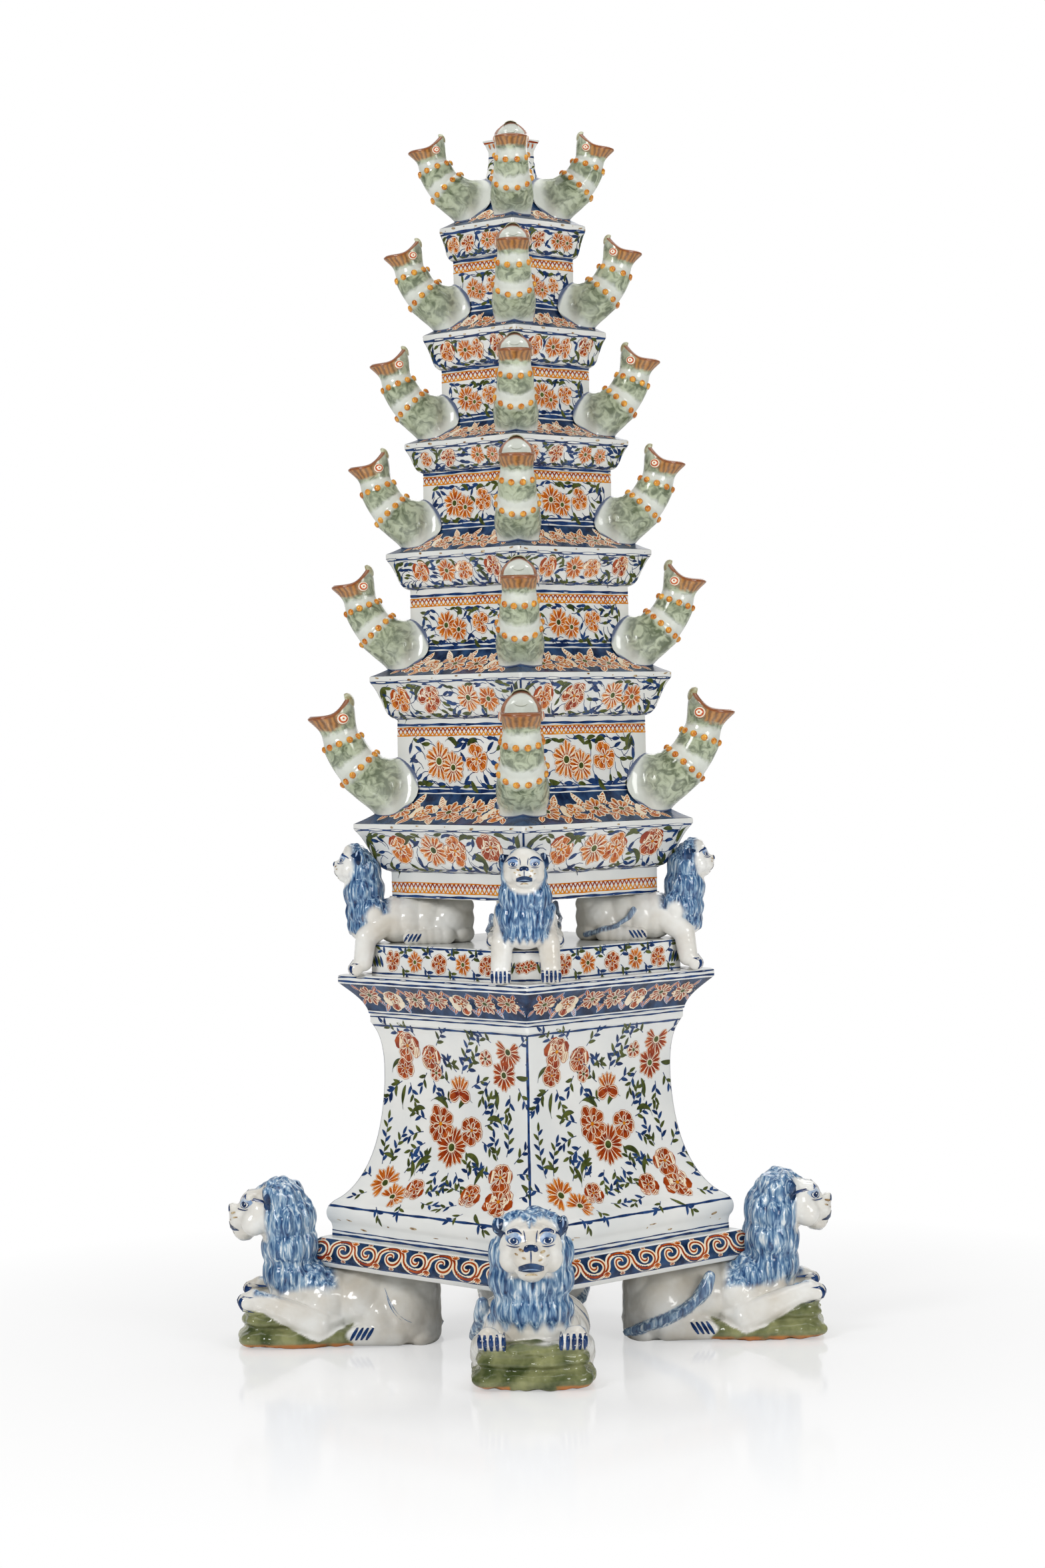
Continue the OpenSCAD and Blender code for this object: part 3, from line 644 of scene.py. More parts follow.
def reserved(f, half, height, n, seed=0, fill="orange"):
    """A row of white and red flowers and veined leaves left out of a blue ground."""
    ochre = fill == "orange"
    r = min(height * (0.40 if ochre else 0.35), half / n * 0.90)
    for k in range(n):
        x = half * (-1 + (2 * k + 1) / n) * 0.96
        y = height * (0.5 + 0.06 * math.sin(2.1 * k + seed))
        gap = half / n
        for sgn in (-1, 1):
            for up in (-1, 1):
                a = math.pi / 2 * (1 - sgn) + sgn * up * 0.9
                px, py = x + sgn * r * 0.7, y + up * r * 0.5
                size = min(gap * 1.1, height * (0.42 if ochre else 0.34))
                size *= 0.95 + 0.12 * math.sin(3 * k + up)
                f.leaf("reserve" if ochre else "wash", px, py, a, size, size * 0.44, 0.14, 0.4 * sgn * up)
                f.leaf(fill if (k + up) % 2 else "orange", px, py, a, size * 0.9, size * 0.33, 0.155,
                       0.4 * sgn * up)
                f.leaf("reserve", px, py, a, size * 0.8, size * 0.06, 0.17, 0.4 * sgn * up)
        if k % 3 == 1:
            f.peony(x, y, r * 1.05, 0.4 * k, 6, "reserve", fill)
        else:
            f.daisy(x, y, r * 1.05, 11, 0.3 * k, line="reserve" if ochre else "brick", fill=fill)
        for j in range(5):
            f.blob("reserve", x + gap * (0.9 + 0.09 * (j % 3)), height * (0.14 + 0.17 * j), 0.65, 0.5,
                   off=0.14, n=6)


for side in range(4):
    reserved(Face(work, cap, side, s_low), cap.half(s_low + 12), s_high - s_low, 7, side, "red")
    top = cap.at(PLINTH + 8, PLINTH_Z)
    f = Face(work, cap, side, top)
    w = cap.half(top)
    for k in range(46):
        x = -w + 4 + (2 * w - 8) * k / 45
        f.stroke("red", [(x - 2.0, 3.5), (x, 0.6), (x + 2.0, 3.5)], 0.35)
        f.stroke("blue", [(x, -3.4), (x, -1.2)], 0.4)
    f = Face(work, plinth, side, plinth.at(PLINTH, PLINTH_Z + 13))
    for x, kind in ((-58, 1), (-30, 0), (0, 1), (29, 0), (57, 1)):
        if kind:
            f.peony(x, 0, 9.5, 0.3 + x, 6)
        else:
            f.daisy(x, 0, 9.5, 13, fill="orange")
        f.sprig(x + 9, 3, 0.5, 11, 3, 0.4, kind, 0.85)
        f.sprig(x + 9, -3, 5.7, 11, 3, -0.4, kind + 1, 0.85)
        f.sprig(x - 8, 4, 2.4, 8, 2, 0.3, kind, 0.8)
    for sgn in (-1, 1):
        for j in range(6):
            f.leaf("green" if j % 2 else "blue", sgn * (71 + 3.2 * j), -6, math.pi / 2 - 0.35 * sgn, 11, 3.0)


class Facet(Face):
    """A flat sheet on a cut corner: its middle in metres, and the way it faces."""

    def __init__(self, work, at, out):
        self.work, self.mid, self.out = work, np.array(at), np.array(out)

    def put(self, pts, off):
        across = np.array([-self.out[1], self.out[0], 0])
        return [self.mid + (across * x + np.array([0, 0, 1]) * y + self.out * off) / 1000
                for x, y in np.asarray(pts, float)]


for k in range(4):
    out = (round(math.cos(k * math.pi / 2)), round(math.sin(k * math.pi / 2)), 0)
    at = plinth.point(k, -plinth.half(5), plinth.at(PLINTH, PLINTH_Z + 13))
    f = Facet(work, np.array(out) * np.linalg.norm(at[:2]) + np.array([0, 0, at[2]]), out)
    for x, r in ((-4.5, 5.0), (4.5, 5.0), (0, 5.6)):
        f.daisy(x, 0.2 * x, r, 9, 0.3 + x, off=0.3 + 0.04 * r)
    for x, ang in ((-8, 2.6), (8, 0.5), (-6, 3.9), (6, 5.6)):
        f.leaf("blue", x * 0.8, 0.2 * x, ang, 5, 1.9, 0.3)
for r, z, half in ((CORNICE, CAP_Z + 29.3, 0.8), (CORNICE, CAP_Z + 33.2, 0.7),
                   (FILLET + 1.2, CAP_Z + 1.4, 0.6)):
    ringline(work, cap, cap.at(r, z), half)
for z in (PLINTH_Z + 2, LION_Z - 1.6):
    ringline(work, plinth, plinth.at(PLINTH, z), 0.75)
work.finish()

# The six tiers: each a hollow square vase on a foot, with a flared rim, a sloping shoulder and a
# neck on which the next one stands loose. A darker white glaze as painted shade, blue shoulders, bouquets and
# a lattice.
TIER_H = [148.5, 112, 105.5, 89.5, 94.5, 106.5]
RIM = [149.5, 133, 117, 98.5, 81, 64.5]
RIM_Z = [62.5, 42, 36.5, 26.5, 31, 29]
SHOULDER = [28.5, 24, 22.5, 19, 21, 22.5]
NECK = [109, 96, 82.5, 65, 53, 33.5]
FOOT_Z = [23, 7, 7.5, 3.5, 3, 3]
TOWER_Z, FIRST_FOOT = 386.5, 116.5
TIER_Z = [TOWER_Z + sum(TIER_H[:k]) for k in range(6)]
WALL, TOP_WALL, LIP, TRELLIS = 9.2, 7.8, 2.25, 5.3
RING_GAP, RING_WIDE, RING_TALL = 1.7, 7, 2.5


def between(a, b, x, y):
    return a[0] + (b[0] - a[0]) * x, a[1] + (b[1] - a[1]) * y


def lattice(work, sq, s, height, pitch):
    """A trellis right round, amber below and red above, between two amber lines."""
    for side in range(4):
        f = Face(work, sq, side, s)
        w = sq.half(s + height / 2) - 0.6
        n = max(3, round(2 * w / pitch))
        d = 2 * w / n
        for k in range(n):
            x = -w + k * d
            for low, high, off in ((x, x + d, 0.13), (x + d, x, 0.15)):
                f.stroke("amber", [(low, 0), (x + d / 2, height / 2)], 0.75, 0.6, off)
                f.stroke("red", [(x + d / 2, height / 2), (high, height)], 0.6, 0.75, off)
    ringline(work, sq, s, 0.45, "amber", 0.14)
    ringline(work, sq, s + height, 0.45, "amber", 0.14)


# Flowers of tiers 1, 3 and 5, then of 2, 4 and 6: place across and up, radius, and the petals of a
# peony or 0 for a daisy.
BLOOMS = (((-0.55, 1.15, 14.5, 5), (-0.13, 1.12, 16, 0), (0.15, 1.12, 15, 7), (0.62, 1.28, 15, 6)),
          ((-0.70, 1.08, 14.5, 5), (-0.27, 1.10, 17, 7), (0.28, 1.10, 16.5, 0), (0.56, 1.03, 14.5, 0)))
# Long leaves below the rim: place across and up, direction, length and turn.
LOW_CURLS = (
    (-0.84, 1.72, 3.4, 24, 1.9), (-0.78, 0.55, 5.3, 20, -1.2), (-0.33, 1.70, 3.3, 24, 1.9),
    (-0.32, 0.45, 5.6, 22, 1.2), (0.36, 1.05, 5.9, 26, -1.9), (0.40, 1.72, 3.0, 18, 1.5),
    (0.82, 0.85, 5.0, 22, -1.4), (0.12, 0.36, 6.1, 18, 0.9), (-0.95, 0.6, 1.2, 20, 1.2),
    (0.96, 1.1, 1.6, 20, -1.0), (-0.58, 1.75, 0.1, 18, -1.5), (0.70, 1.8, 0.2, 16, -1.4))
# Long leaves on the neck: place across and up, direction and turn.
NECK_CURLS = (
    (-0.02, 0.78, 1.9, 2.0), (0.14, 0.80, 1.0, -2.2), (0.20, 0.2, 5.0, 1.3), (-0.60, 0.2, 5.6, 1.4),
    (0.68, 0.7, 1.8, -1.6))
tiers = []
for i in range(6):
    z0, foot, rim, neck, h = TIER_Z[i], NECK[i - 1] if i else FIRST_FOOT, RIM[i], NECK[i], TIER_H[i]
    rz, nz, fz = RIM_Z[i], RIM_Z[i] + SHOULDER[i], FOOT_Z[i]
    a, b = (foot + 1.5, fz), (rim, rz - LIP)
    c, d = (rim, rz + LIP), (neck, nz)
    line = ([(foot, 0), (foot, fz)] + bezier(a, between(a, b, 0.55, 0.12), between(a, b, 0.45, 0.6), b, 14)
            + bezier(c, between(c, d, 0.4, 0.22), between(c, d, 0.88, 0.62), d, 12))
    wall = WALL if i < 5 else TOP_WALL
    if i < 5:
        line += [(neck, h)]
        inside = [(neck - wall, h), (neck - wall, nz), (rim - wall - 6, rz), (foot - wall, fz + 6),
                  (0.02, fz + 5)]
    else:
        line += bezier((33, nz + 2), (26.5, nz + 18), (20.5, h - 32), (20.5, h - 10), 14)[1:]
        line += [(23.25, h - 4), (26, h)]
        inside = [(19.5, h), (14, h - 7), (12.7, h - 20), (20, nz + 6), (rim - wall - 6, rz),
                  (foot - wall, fz + 6), (0.02, fz + 5)]
    if i:
        ring = foot - WALL - RING_GAP
        under = [(0.02, 0), (ring - RING_WIDE, 0), (ring - RING_WIDE, -RING_TALL), (ring, -RING_TALL),
                 (ring, 0)]
    else:
        under = [(0.02, 8), (foot - 16, 8), (foot - 14, 0)]
    sq = Square([(r, z + z0) for r, z in under + line + inside], corner=2.4)
    tiers.append(sq)
    s_rim = sq.at(rim, z0 + rz)
    s_sh0, s_sh1 = sq.at(rim - 0.6, z0 + rz + 2.4), sq.at(neck + 0.4, z0 + nz - 0.6)
    s_f0, s_f1, s_n0 = sq.at(foot + 1.5, z0 + fz + 1), sq.at(rim, z0 + rz - LIP), sq.at(neck, z0 + nz)
    s_n1 = sq.at(neck, z0 + h) if i < 5 else sq.at(20.5, z0 + h - 14)
    tier, bands = f"tier_{i + 1}", [(s_sh0, s_sh1, "ground")]
    # The vase's base colour is the darker white, painted shade.
    loft(f"{tier}_vase", sq, bands, tier, "painted_glaze", f"{tier}_body", pitch=3.5, base="tower")
    work = Paint(tier, tier, "painted_glaze")
    tall = s_f1 - s_f0
    for side in range(4):
        wide = sq.half((s_f0 + s_f1) / 2)
        low, y = Face(work, sq, side, s_f0), tall / 2
        u = tall / 50
        blooms = BLOOMS[i % 2]
        for j, (t, v, r, petals) in enumerate(blooms):
            r = min(r * 1.02 * u, 0.19 * wide)
            if petals:
                low.peony(t * wide, v * y, r, 0.6 * j, petals, fill="red" if j % 2 else "orange")
            else:
                low.daisy(t * wide, v * y, r, 14, 0.2, fill="orange", off=0.2 + 0.2 * (j % 2))
        spots = [(t * wide, v * y, min(r * 1.02 * u, 0.19 * wide)) for t, v, r, petals in blooms]
        low.foliage(spots, wide * 0.98, tall - 2.5, 8.0 * max(u, 0.72), max(u, 0.72) * 1.22, side + 10 * i)
        for t, v, ang, length, turn in LOW_CURLS:
            low.curl(t * wide, v * y, ang, 1.15 * length * u, turn, 5.2 * u)
        for sgn in (-1, 1):
            s = np.linspace(s_f1 - 0.42 * tall, s_f1 - 1.5, 8)
            w = np.interp(s, sq.s, sq.w)
            work.strip("blue", list(sq.point(side, sgn * (w - 1.1), s, 0.12)),
                       list(sq.point(side, sgn * w, s, 0.12)))
        half = 0.88 * sq.half((s_sh0 + s_sh1) / 2)
        reserved(Face(work, sq, side, s_sh0), half, s_sh1 - s_sh0, (5, 5, 5, 4, 4, 3)[i], side + i)
        if i < 5:
            room = s_n1 - s_n0 - 12
            up, wn = Face(work, sq, side, s_n0 + 3), sq.half(s_n0 + 2)
            r = min(room * 0.37, wn * 0.235)
            up.daisy(-0.31 * wn, room * 0.54, r, 15, 0.2, fill="orange")
            up.daisy(-0.08 * wn, room * 0.42, r * 0.84, 14, 0.1, fill="orange", off=0.42)
            up.peony(0.30 * wn, room * 0.58, r * 0.80, 0.2, 6, fill="orange")
            spots = [(-0.31 * wn, room * 0.54, r), (-0.08 * wn, room * 0.42, r * 0.84),
                     (0.30 * wn, room * 0.58, r * 0.80)]
            up.foliage(spots, wn * 0.80, room + 1, 8.2 * max(r / 17, 0.72), max(r / 17, 0.72) * 1.22,
                       side + 10 * i + 5)
            for t, v, ang, turn in NECK_CURLS:
                up.curl(t * wn, v * room, ang, 1.15 * r, turn, 0.28 * r)
    for s, half in ((s_f0 - 0.4, 1.4), (s_f1 - 1.0, 1.3), (s_n0 + 1.8, 1.4), (s_n0 + 5.2, 0.65),
                    (sq.at(foot, z0 + 1.6), 1.0)):
        ringline(work, sq, s, half)
    if i < 5:
        lattice(work, sq, s_n1 - 7.6, 6.8, TRELLIS)
    else:
        for v in (0.05, 0.98):
            ringline(work, sq, s_n0 + v * (s_n1 - s_n0), 0.9)
        ringline(work, sq, sq.at(24.6, z0 + h - 2.4), 0.7, "red")
        for side in range(4):
            up, room = Face(work, sq, side, s_n0 + 4), s_n1 - s_n0 - 7
            up.daisy(-3, room * 0.24, 7.5, 12, fill="orange")
            up.peony(3.5, room * 0.62, 5.6, 0.4, 6, fill="orange", off=0.3)
            up.foliage([(-3, room * 0.24, 7.5), (3.5, room * 0.62, 5.6)], 14.5, room, 5.0, 0.58, side + 65)
            for k in range(5):
                f = Face(work, sq, side, sq.at(22, z0 + h - 7), -10 + 5 * k)
                f.petal(0, -1, math.pi / 2, 6, 3.4, "blue", "orange", 0.2)
    if i == 0:
        lattice(work, sq, sq.at(foot, z0 + 5), 8.5, TRELLIS)
    for side in range(4):
        for k in range(6):
            t = math.sin(12.9 * k + 7.3 * side + 3.1 * i)
            f = Face(work, sq, side, s_rim + 1.2 * math.sin(5 * k + i), t * 0.97 * sq.half(s_rim))
            f.blob("rust", 0, 0, 1.6 + 1.1 * math.sin(9 * k + side), 0.8 + 0.3 * math.sin(4 * k), 0.2 * t,
                   0.13, 0.3, 9)
    work.finish()

# The spouts: four monster-headed tubes a tier, thrown and bent, set on the neck's corners, with two
# beaded collars and an open mouth. A swept tube that keeps its length, lip, turn and seam for the paint.
BEND, TILT, TURN = 73.0, math.radians(26), math.radians(50)
HEAD = BEND * TURN
SIZE = [1, 0.86, 0.82, 0.78, 0.75, 0.70]
FAT = [1.02, 1.08, 1.10, 1.12, 1.14, 1.20]
GIRTH = [(-60, 23.5), (-4, 22.4), (6, 21.4), (18, 20.8), (25, 21.0), (28, 20.4), (31, 18.6),
         (38, 18.2), (46, 17.9), (53, 17.8), (56, 17.0), (59, 15.8), (64, 15.4), (70, 15.8), (76, 16.4),
         (90, 16.8)]


def on_spout(l, phi, grow=0.0, fat=1.0):
    """A point of the spout's skin in the corner plane, in tier 1's mm: out, across and up from its root."""
    th = TILT + np.clip(l, 0, HEAD) / BEND
    before, past = np.minimum(l, 0), np.maximum(l - HEAD, 0)
    cx = BEND * (np.sin(th) - math.sin(TILT)) + before * math.cos(TILT) + past * np.cos(th)
    cz = BEND * (math.cos(TILT) - np.cos(th)) + before * math.sin(TILT) + past * np.sin(th)
    r = np.interp(l, [g[0] for g in GIRTH], [g[1] for g in GIRTH]) * fat
    open_ = np.clip((l - HEAD - 2) / 15, 0, 1) ** 1.6
    r = r + open_ * (7.0 * np.clip(np.cos(phi), 0, 1) ** 1.2 + 1.2 * np.clip(-np.cos(phi), 0, 1)) + grow
    down = r * np.cos(phi)
    return np.stack([cx + down * np.sin(th), r * np.sin(phi), cz - down * np.cos(th)], -1)


def smooth(x, a, b):
    """0 below a, 1 above b, eased between."""
    t = np.clip((x - a) / (b - a), 0, 1)
    return t * t * (3 - 2 * t)


def mouth(phi):
    """How far the lip lies beyond the bend, by the place round it: the snout reaches furthest."""
    return 15 + 14.6 * ((1 - np.cos(phi)) / 2) ** 2.8 + 5 * ((1 + np.cos(phi)) / 2) ** 3


class Recipe:
    """A glaze put together from shader nodes: its material, and the small steps that mix its colour."""

    def __init__(self, name, rough):
        self.mat = bpy.data.materials.new(name)
        self.mat.use_nodes = True
        self.nodes, self.link = self.mat.node_tree.nodes, self.mat.node_tree.links.new
        self.place = self.nodes.new("ShaderNodeTexCoord").outputs["Object"]
        preset(self.nodes["Principled BSDF"], Roughness=rough, IOR=GLASS_IOR)

    def feed(self, value, socket):
        """Sets a number or a colour on the socket, or links anything else to it."""
        if isinstance(value, (int, float, tuple)):
            socket.default_value = value
        else:
            self.link(value, socket)

    def attr(self, label):
        node = self.nodes.new("ShaderNodeAttribute")
        node.attribute_name = label
        return node.outputs["Fac"]

    def cloud(self, place=None, **values):
        node = self.nodes.new("ShaderNodeTexNoise")
        preset(node, **values)
        self.link(self.place if place is None else place, node.inputs["Vector"])
        return node.outputs["Fac"]

    def calc(self, op, a, b=0.0):
        node = self.nodes.new("ShaderNodeMath")
        node.operation = op
        self.feed(a, node.inputs[0])
        self.feed(b, node.inputs[1])
        return node.outputs[0]

    def ramp(self, fac, stops):
        """stops are (place, grey or colour)."""
        node = self.nodes.new("ShaderNodeValToRGB")
        while len(node.color_ramp.elements) < len(stops):
            node.color_ramp.elements.new(0.5)
        for stop, (at, value) in zip(node.color_ramp.elements, stops):
            stop.position = at
            stop.color = value if isinstance(value, tuple) else (value, value, value, 1)
        self.link(fac, node.inputs["Fac"])
        return node.outputs["Color"]

    def blend(self, fac, a, b):
        node = self.nodes.new("ShaderNodeMix")
        node.data_type = "RGBA"
        self.link(fac, node.inputs["Factor"])
        self.feed(a, node.inputs["A"])
        self.feed(b, node.inputs["B"])
        return node.outputs["Result"]

    def finish(self, colour, wave):
        """Lays the colour on, with the same wavy skin as the other glazes."""
        group = self.nodes.new("ShaderNodeGroup")
        group.node_tree = brushed()
        preset(group, Wave=wave)
        skin = self.nodes["Principled BSDF"]
        self.link(colour, skin.inputs["Base Color"])
        self.link(group.outputs["Normal"], skin.inputs["Normal"])
        return self.mat


def spout_glaze():
    """White with green washes by length, a striped fringe under a brown lip, a blue line at the root."""
    mix = Recipe("spout_glaze", 0.12)
    attr, calc, ramp, blend = mix.attr, mix.calc, mix.ramp, mix.blend
    along, lip, turn, seam = attr("along"), attr("lip"), attr("turn"), attr("seam")
    streak = ramp(mix.cloud(Scale=120, Detail=5, Distortion=1.2), [(0.38, 0.0), (0.60, 1.0)])
    drift = calc("MULTIPLY", calc("SUBTRACT", mix.cloud(Scale=160, Detail=3), 0.5), 7.0)
    wash = ramp(calc("DIVIDE", calc("ADD", calc("ADD", along, 30.0), drift), 130.0),
                [(0.0, 0.0), (0.07, 0.0), (0.16, 0.7), (0.40, 0.95), (0.45, 0.1), (0.51, 0.05), (0.54, 0.8),
                 (0.63, 0.95), (0.67, 0.1), (0.71, 0.1), (0.74, 0.85), (0.82, 0.85), (0.93, 0.5)])
    wash = calc("MULTIPLY", wash, calc("GREATER_THAN", lip, -0.5))
    colour = blend(wash, lin(218, 222, 214), blend(streak, lin(78, 92, 56), lin(174, 184, 152)))
    stripe = calc("SINE", calc("ADD", calc("MULTIPLY", turn, 21.0), drift))
    stripe = calc("ADD", calc("MULTIPLY", stripe, 0.5), 0.5)
    fringe = ramp(calc("DIVIDE", calc("ADD", lip, drift), 20.0),
                  [(0.0, 0.0), (0.02, 0.0), (0.06, 0.95), (0.58, 0.9), (0.74, 0.0)])
    jaw = ramp(calc("DIVIDE", calc("ABSOLUTE", turn), 3.1416), [(0.0, 1.0), (0.5, 0.9), (0.62, 0.0)])
    fringe = calc("MULTIPLY", fringe, jaw)
    colour = blend(fringe, colour, blend(stripe, lin(186, 122, 52), lin(118, 70, 30)))
    edge = calc("DIVIDE", calc("ADD", calc("ABSOLUTE", lip), calc("MULTIPLY", drift, 0.2)), 10.0)
    colour = blend(ramp(edge, [(0.0, 0.9), (0.12, 0.85), (0.24, 0.0)]), colour, lin(140, 74, 32))
    root_line = ramp(calc("DIVIDE", seam, 20.0), [(0.0, 0.85), (0.06, 0.85), (0.10, 0.0)])
    colour = blend(root_line, colour, lin(30, 58, 110))
    return mix.finish(colour, 0.14)


def bead_tree():
    """Flattened beads set on points, each turned to the point's own direction."""
    tree = bpy.data.node_groups.new("beads", "GeometryNodeTree")
    tree.interface.new_socket("Geometry", in_out="INPUT", socket_type="NodeSocketGeometry")
    for label, kind in (("Radius", "NodeSocketFloat"), ("Glaze", "NodeSocketMaterial")):
        tree.interface.new_socket(label, in_out="INPUT", socket_type=kind)
    tree.interface.new_socket("Geometry", in_out="OUTPUT", socket_type="NodeSocketGeometry")
    n = tree.nodes.new
    gin, out = n("NodeGroupInput"), n("NodeGroupOutput")
    ball, put = n("GeometryNodeMeshIcoSphere"), n("GeometryNodeInstanceOnPoints")
    way, named = n("FunctionNodeAlignRotationToVector"), n("GeometryNodeInputNamedAttribute")
    named.data_type = "FLOAT_VECTOR"
    preset(named, Name="out")
    preset(ball, Subdivisions=2)
    flat, real = n("ShaderNodeCombineXYZ"), n("GeometryNodeRealizeInstances")
    coat, sleek = n("GeometryNodeSetMaterial"), n("GeometryNodeSetShadeSmooth")
    preset(flat, X=1, Y=1, Z=0.75)
    wire(tree, (gin, "Geometry", put, "Points"), (gin, "Radius", ball, "Radius"),
         (ball, "Mesh", put, "Instance"), (named, "Attribute", way, "Vector"),
         (way, "Rotation", put, "Rotation"), (flat, 0, put, "Scale"),
         (put, "Instances", real, "Geometry"), (real, "Geometry", sleek, "Geometry"),
         (sleek, "Geometry", coat, "Geometry"), (gin, "Glaze", coat, "Material"),
         (coat, "Geometry", out, "Geometry"))
    return tree, {s.name: s.identifier for s in tree.interface.items_tree if s.in_out == "INPUT"}


skin_of_spout = spout_glaze()
beads, sockets = bead_tree()
amber = glaze("glaze_bead", lin(184, 96, 10), lin(234, 172, 64), 240, 0.1, shine=0.6)
eye_paint = [glaze("glaze_eye_" + n, lin(*a), lin(*b), 200, 0.1) for n, a, b in (
    ("brown", (96, 50, 24), (122, 70, 36)), ("cream", (230, 222, 196), (238, 232, 216)),
    ("rust", (176, 66, 24), (200, 96, 44)), ("celadon", (150, 138, 96), (196, 200, 174)))]
SIDES = ("right", "back", "left", "front")
COLS, ROOT_OUT, ROOT_UP, BEAD = 36, 11, 5.5, 0.0031
for i in range(6):
    size, sq, fat = SIZE[i], tiers[i], FAT[i]
    root = np.array([NECK[i] + ROOT_OUT * size, 0, TIER_Z[i] + RIM_Z[i] + SHOULDER[i] + ROOT_UP * size])
    phi = np.linspace(-math.pi, math.pi, COLS, endpoint=False)
    s_end = sq.at(NECK[i] if i < 5 else 26, TIER_Z[i] + TIER_H[i])
    s_top = np.linspace(sq.at(RIM[i], TIER_Z[i] + RIM_Z[i]), s_end, 900)
    skin_z, skin_r = np.interp(s_top, sq.s, sq.z), np.interp(s_top, sq.s, sq.w) * math.sqrt(2)

    def rooted(l, phi, grow):
        """The skin, drawn in a little sideways where it meets the neck's corner."""
        q = on_spout(l, phi, grow, fat)
        q[:, 1] *= 0.68 + 0.32 * smooth((q[:, 0] * size + root[0] - NECK[i]) / size, -7, 8)
        return q

    start = []
    for p in phi:
        l = np.linspace(14, -58, 400)
        q = rooted(l, np.full_like(l, p), 0) * size + root
        deep = np.interp(q[:, 2], skin_z, skin_r) - np.abs(q[:, 0]) - np.abs(q[:, 1])
        hit = np.nonzero(deep > 0)[0]
        start.append(l[hit[0]] - 2.5 if len(hit) else -58)
    start = np.array(start)
    rows, along, lip = [], [], []

    def ring(skin, length, edge):
        """One ring of the tube, with its place along it and its way to the lip."""
        rows.append(skin)
        along.append(np.zeros(COLS) + length)
        lip.append(np.zeros(COLS) + edge)

    stations = sorted(set(list(np.linspace(0, 1, 12)) + [0.03, 0.06]))
    for q in stations:
        l = start + (16 - start) * q
        upper = np.clip(-np.cos(phi), 0, 1)
        fade = np.exp(-(l - start - 2.5) / (5.0 + 4.0 * upper))
        swell = (3.5 + 5.0 * upper + 2.0 * np.abs(np.sin(phi))) * fade
        ring(rooted(l, phi, np.clip(swell, 0, 10.0)), -30 + 46 * q, 60)
    for l in np.linspace(18, HEAD - 1, 32):
        ring(rooted(np.full_like(phi, l), phi, 0), l, HEAD + mouth(phi) - l)
    for q in np.linspace(0, 1, 13):
        l = HEAD + (mouth(phi) - 1.2) * q
        ring(on_spout(l, phi, 0, fat), l, mouth(phi) * (1 - q))
    for grow, back in ((-1.2, -0.1), (-2.9, 0.2)):
        l = HEAD + mouth(phi) + back * 3 - 0.3
        ring(on_spout(l, phi, grow, fat), l, 0)
    for q in np.linspace(0.1, 1, 10):
        l = (HEAD + mouth(phi) - 1.5) * (1 - q) + 22 * q
        ring(on_spout(l, phi, -4.2, fat), l, -(HEAD + mouth(phi) - l))
    grid = np.array(rows) * size + root
    n = len(rows)
    faces = [(r * COLS + c, r * COLS + (c + 1) % COLS, (r + 1) * COLS + (c + 1) % COLS, (r + 1) * COLS + c)
             for r in range(n - 1) for c in range(COLS)]
    faces.append(tuple((n - 1) * COLS + c for c in range(COLS)))
    flat = grid.reshape(-1, 3)
    along, lip = np.array(along).ravel(), np.array(lip).ravel()
    seam = (np.abs(flat[:, 0]) + np.abs(flat[:, 1]) - np.interp(flat[:, 2], skin_z, skin_r)) / math.sqrt(2)
    seam[len(stations) * COLS:] = 60
    points, outs = [], []
    for l, count in ((27.2, 13 - i // 2), (54.6, 11 - i // 2)):
        for k in range(count):
            a = 2 * math.pi * (k + 0.5) / count
            p, q = on_spout(np.array(l), np.array(a), 0, fat), on_spout(np.array(l), np.array(a), 1.0, fat)
            points.append(p * size + root)
            outs.append(q - p)
    for k, side in enumerate(SIDES):
        c, s = round(math.cos(k * math.pi / 2)), round(math.sin(k * math.pi / 2))
        turn = np.array([[c, -s, 0], [s, c, 0], [0, 0, 1]])
        body, node = f"tier_{i + 1}", f"tier_{i + 1}_spout_{side}"
        tube = piece(f"{node}_tube", flat @ turn.T / 1000, faces, [skin_of_spout], body, "spout_glaze",
                     nodes=(node,))
        for label, values in (("along", along), ("lip", lip), ("turn", np.tile(phi, n)), ("seam", seam)):
            store = tube.data.attributes.new(label, "FLOAT", "POINT")
            store.data.foreach_set("value", values.astype(np.float32))
        bm = bmesh.new()
        bm.from_mesh(tube.data)
        bmesh.ops.recalc_face_normals(bm, faces=bm.faces)
        bm.to_mesh(tube.data)
        bm.free()
        dots = bpy.data.meshes.new("dots")
        dots.from_pydata([tuple(v) for v in np.array(points) @ turn.T / 1000], [], [])
        ways = (np.array(outs) @ turn.T).astype(np.float32).ravel()
        dots.attributes.new("out", "FLOAT_VECTOR", "POINT").data.foreach_set("vector", ways)
        string = bpy.data.objects.new(f"{node}_beads", dots)
        bpy.context.collection.objects.link(string)
        mod = string.modifiers.new("beads", "NODES")
        mod.node_group = beads
        mod[sockets["Radius"]] = BEAD * size ** 0.4
        mod[sockets["Glaze"]] = amber
        bpy.context.view_layer.update()
        made = bpy.data.meshes.new_from_object(string.evaluated_get(bpy.context.evaluated_depsgraph_get()))
        string.modifiers.clear()
        string.data = made
        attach(string, body)
        verts, quads, index = [], [], []
        eyes = [(HEAD + 11, sgn * 1.95, 5.6, 5.6, 0.0) for sgn in (-1, 1)]
        balls = eyes + [(HEAD + 24.6, math.pi, 7.6, 9.2, -3.9)]
        for at, a, tall, wide, lift in balls:
            mid = on_spout(np.array(at), np.array(a), lift, fat)
            z = on_spout(np.array(at), np.array(a), lift + 1, fat) - mid
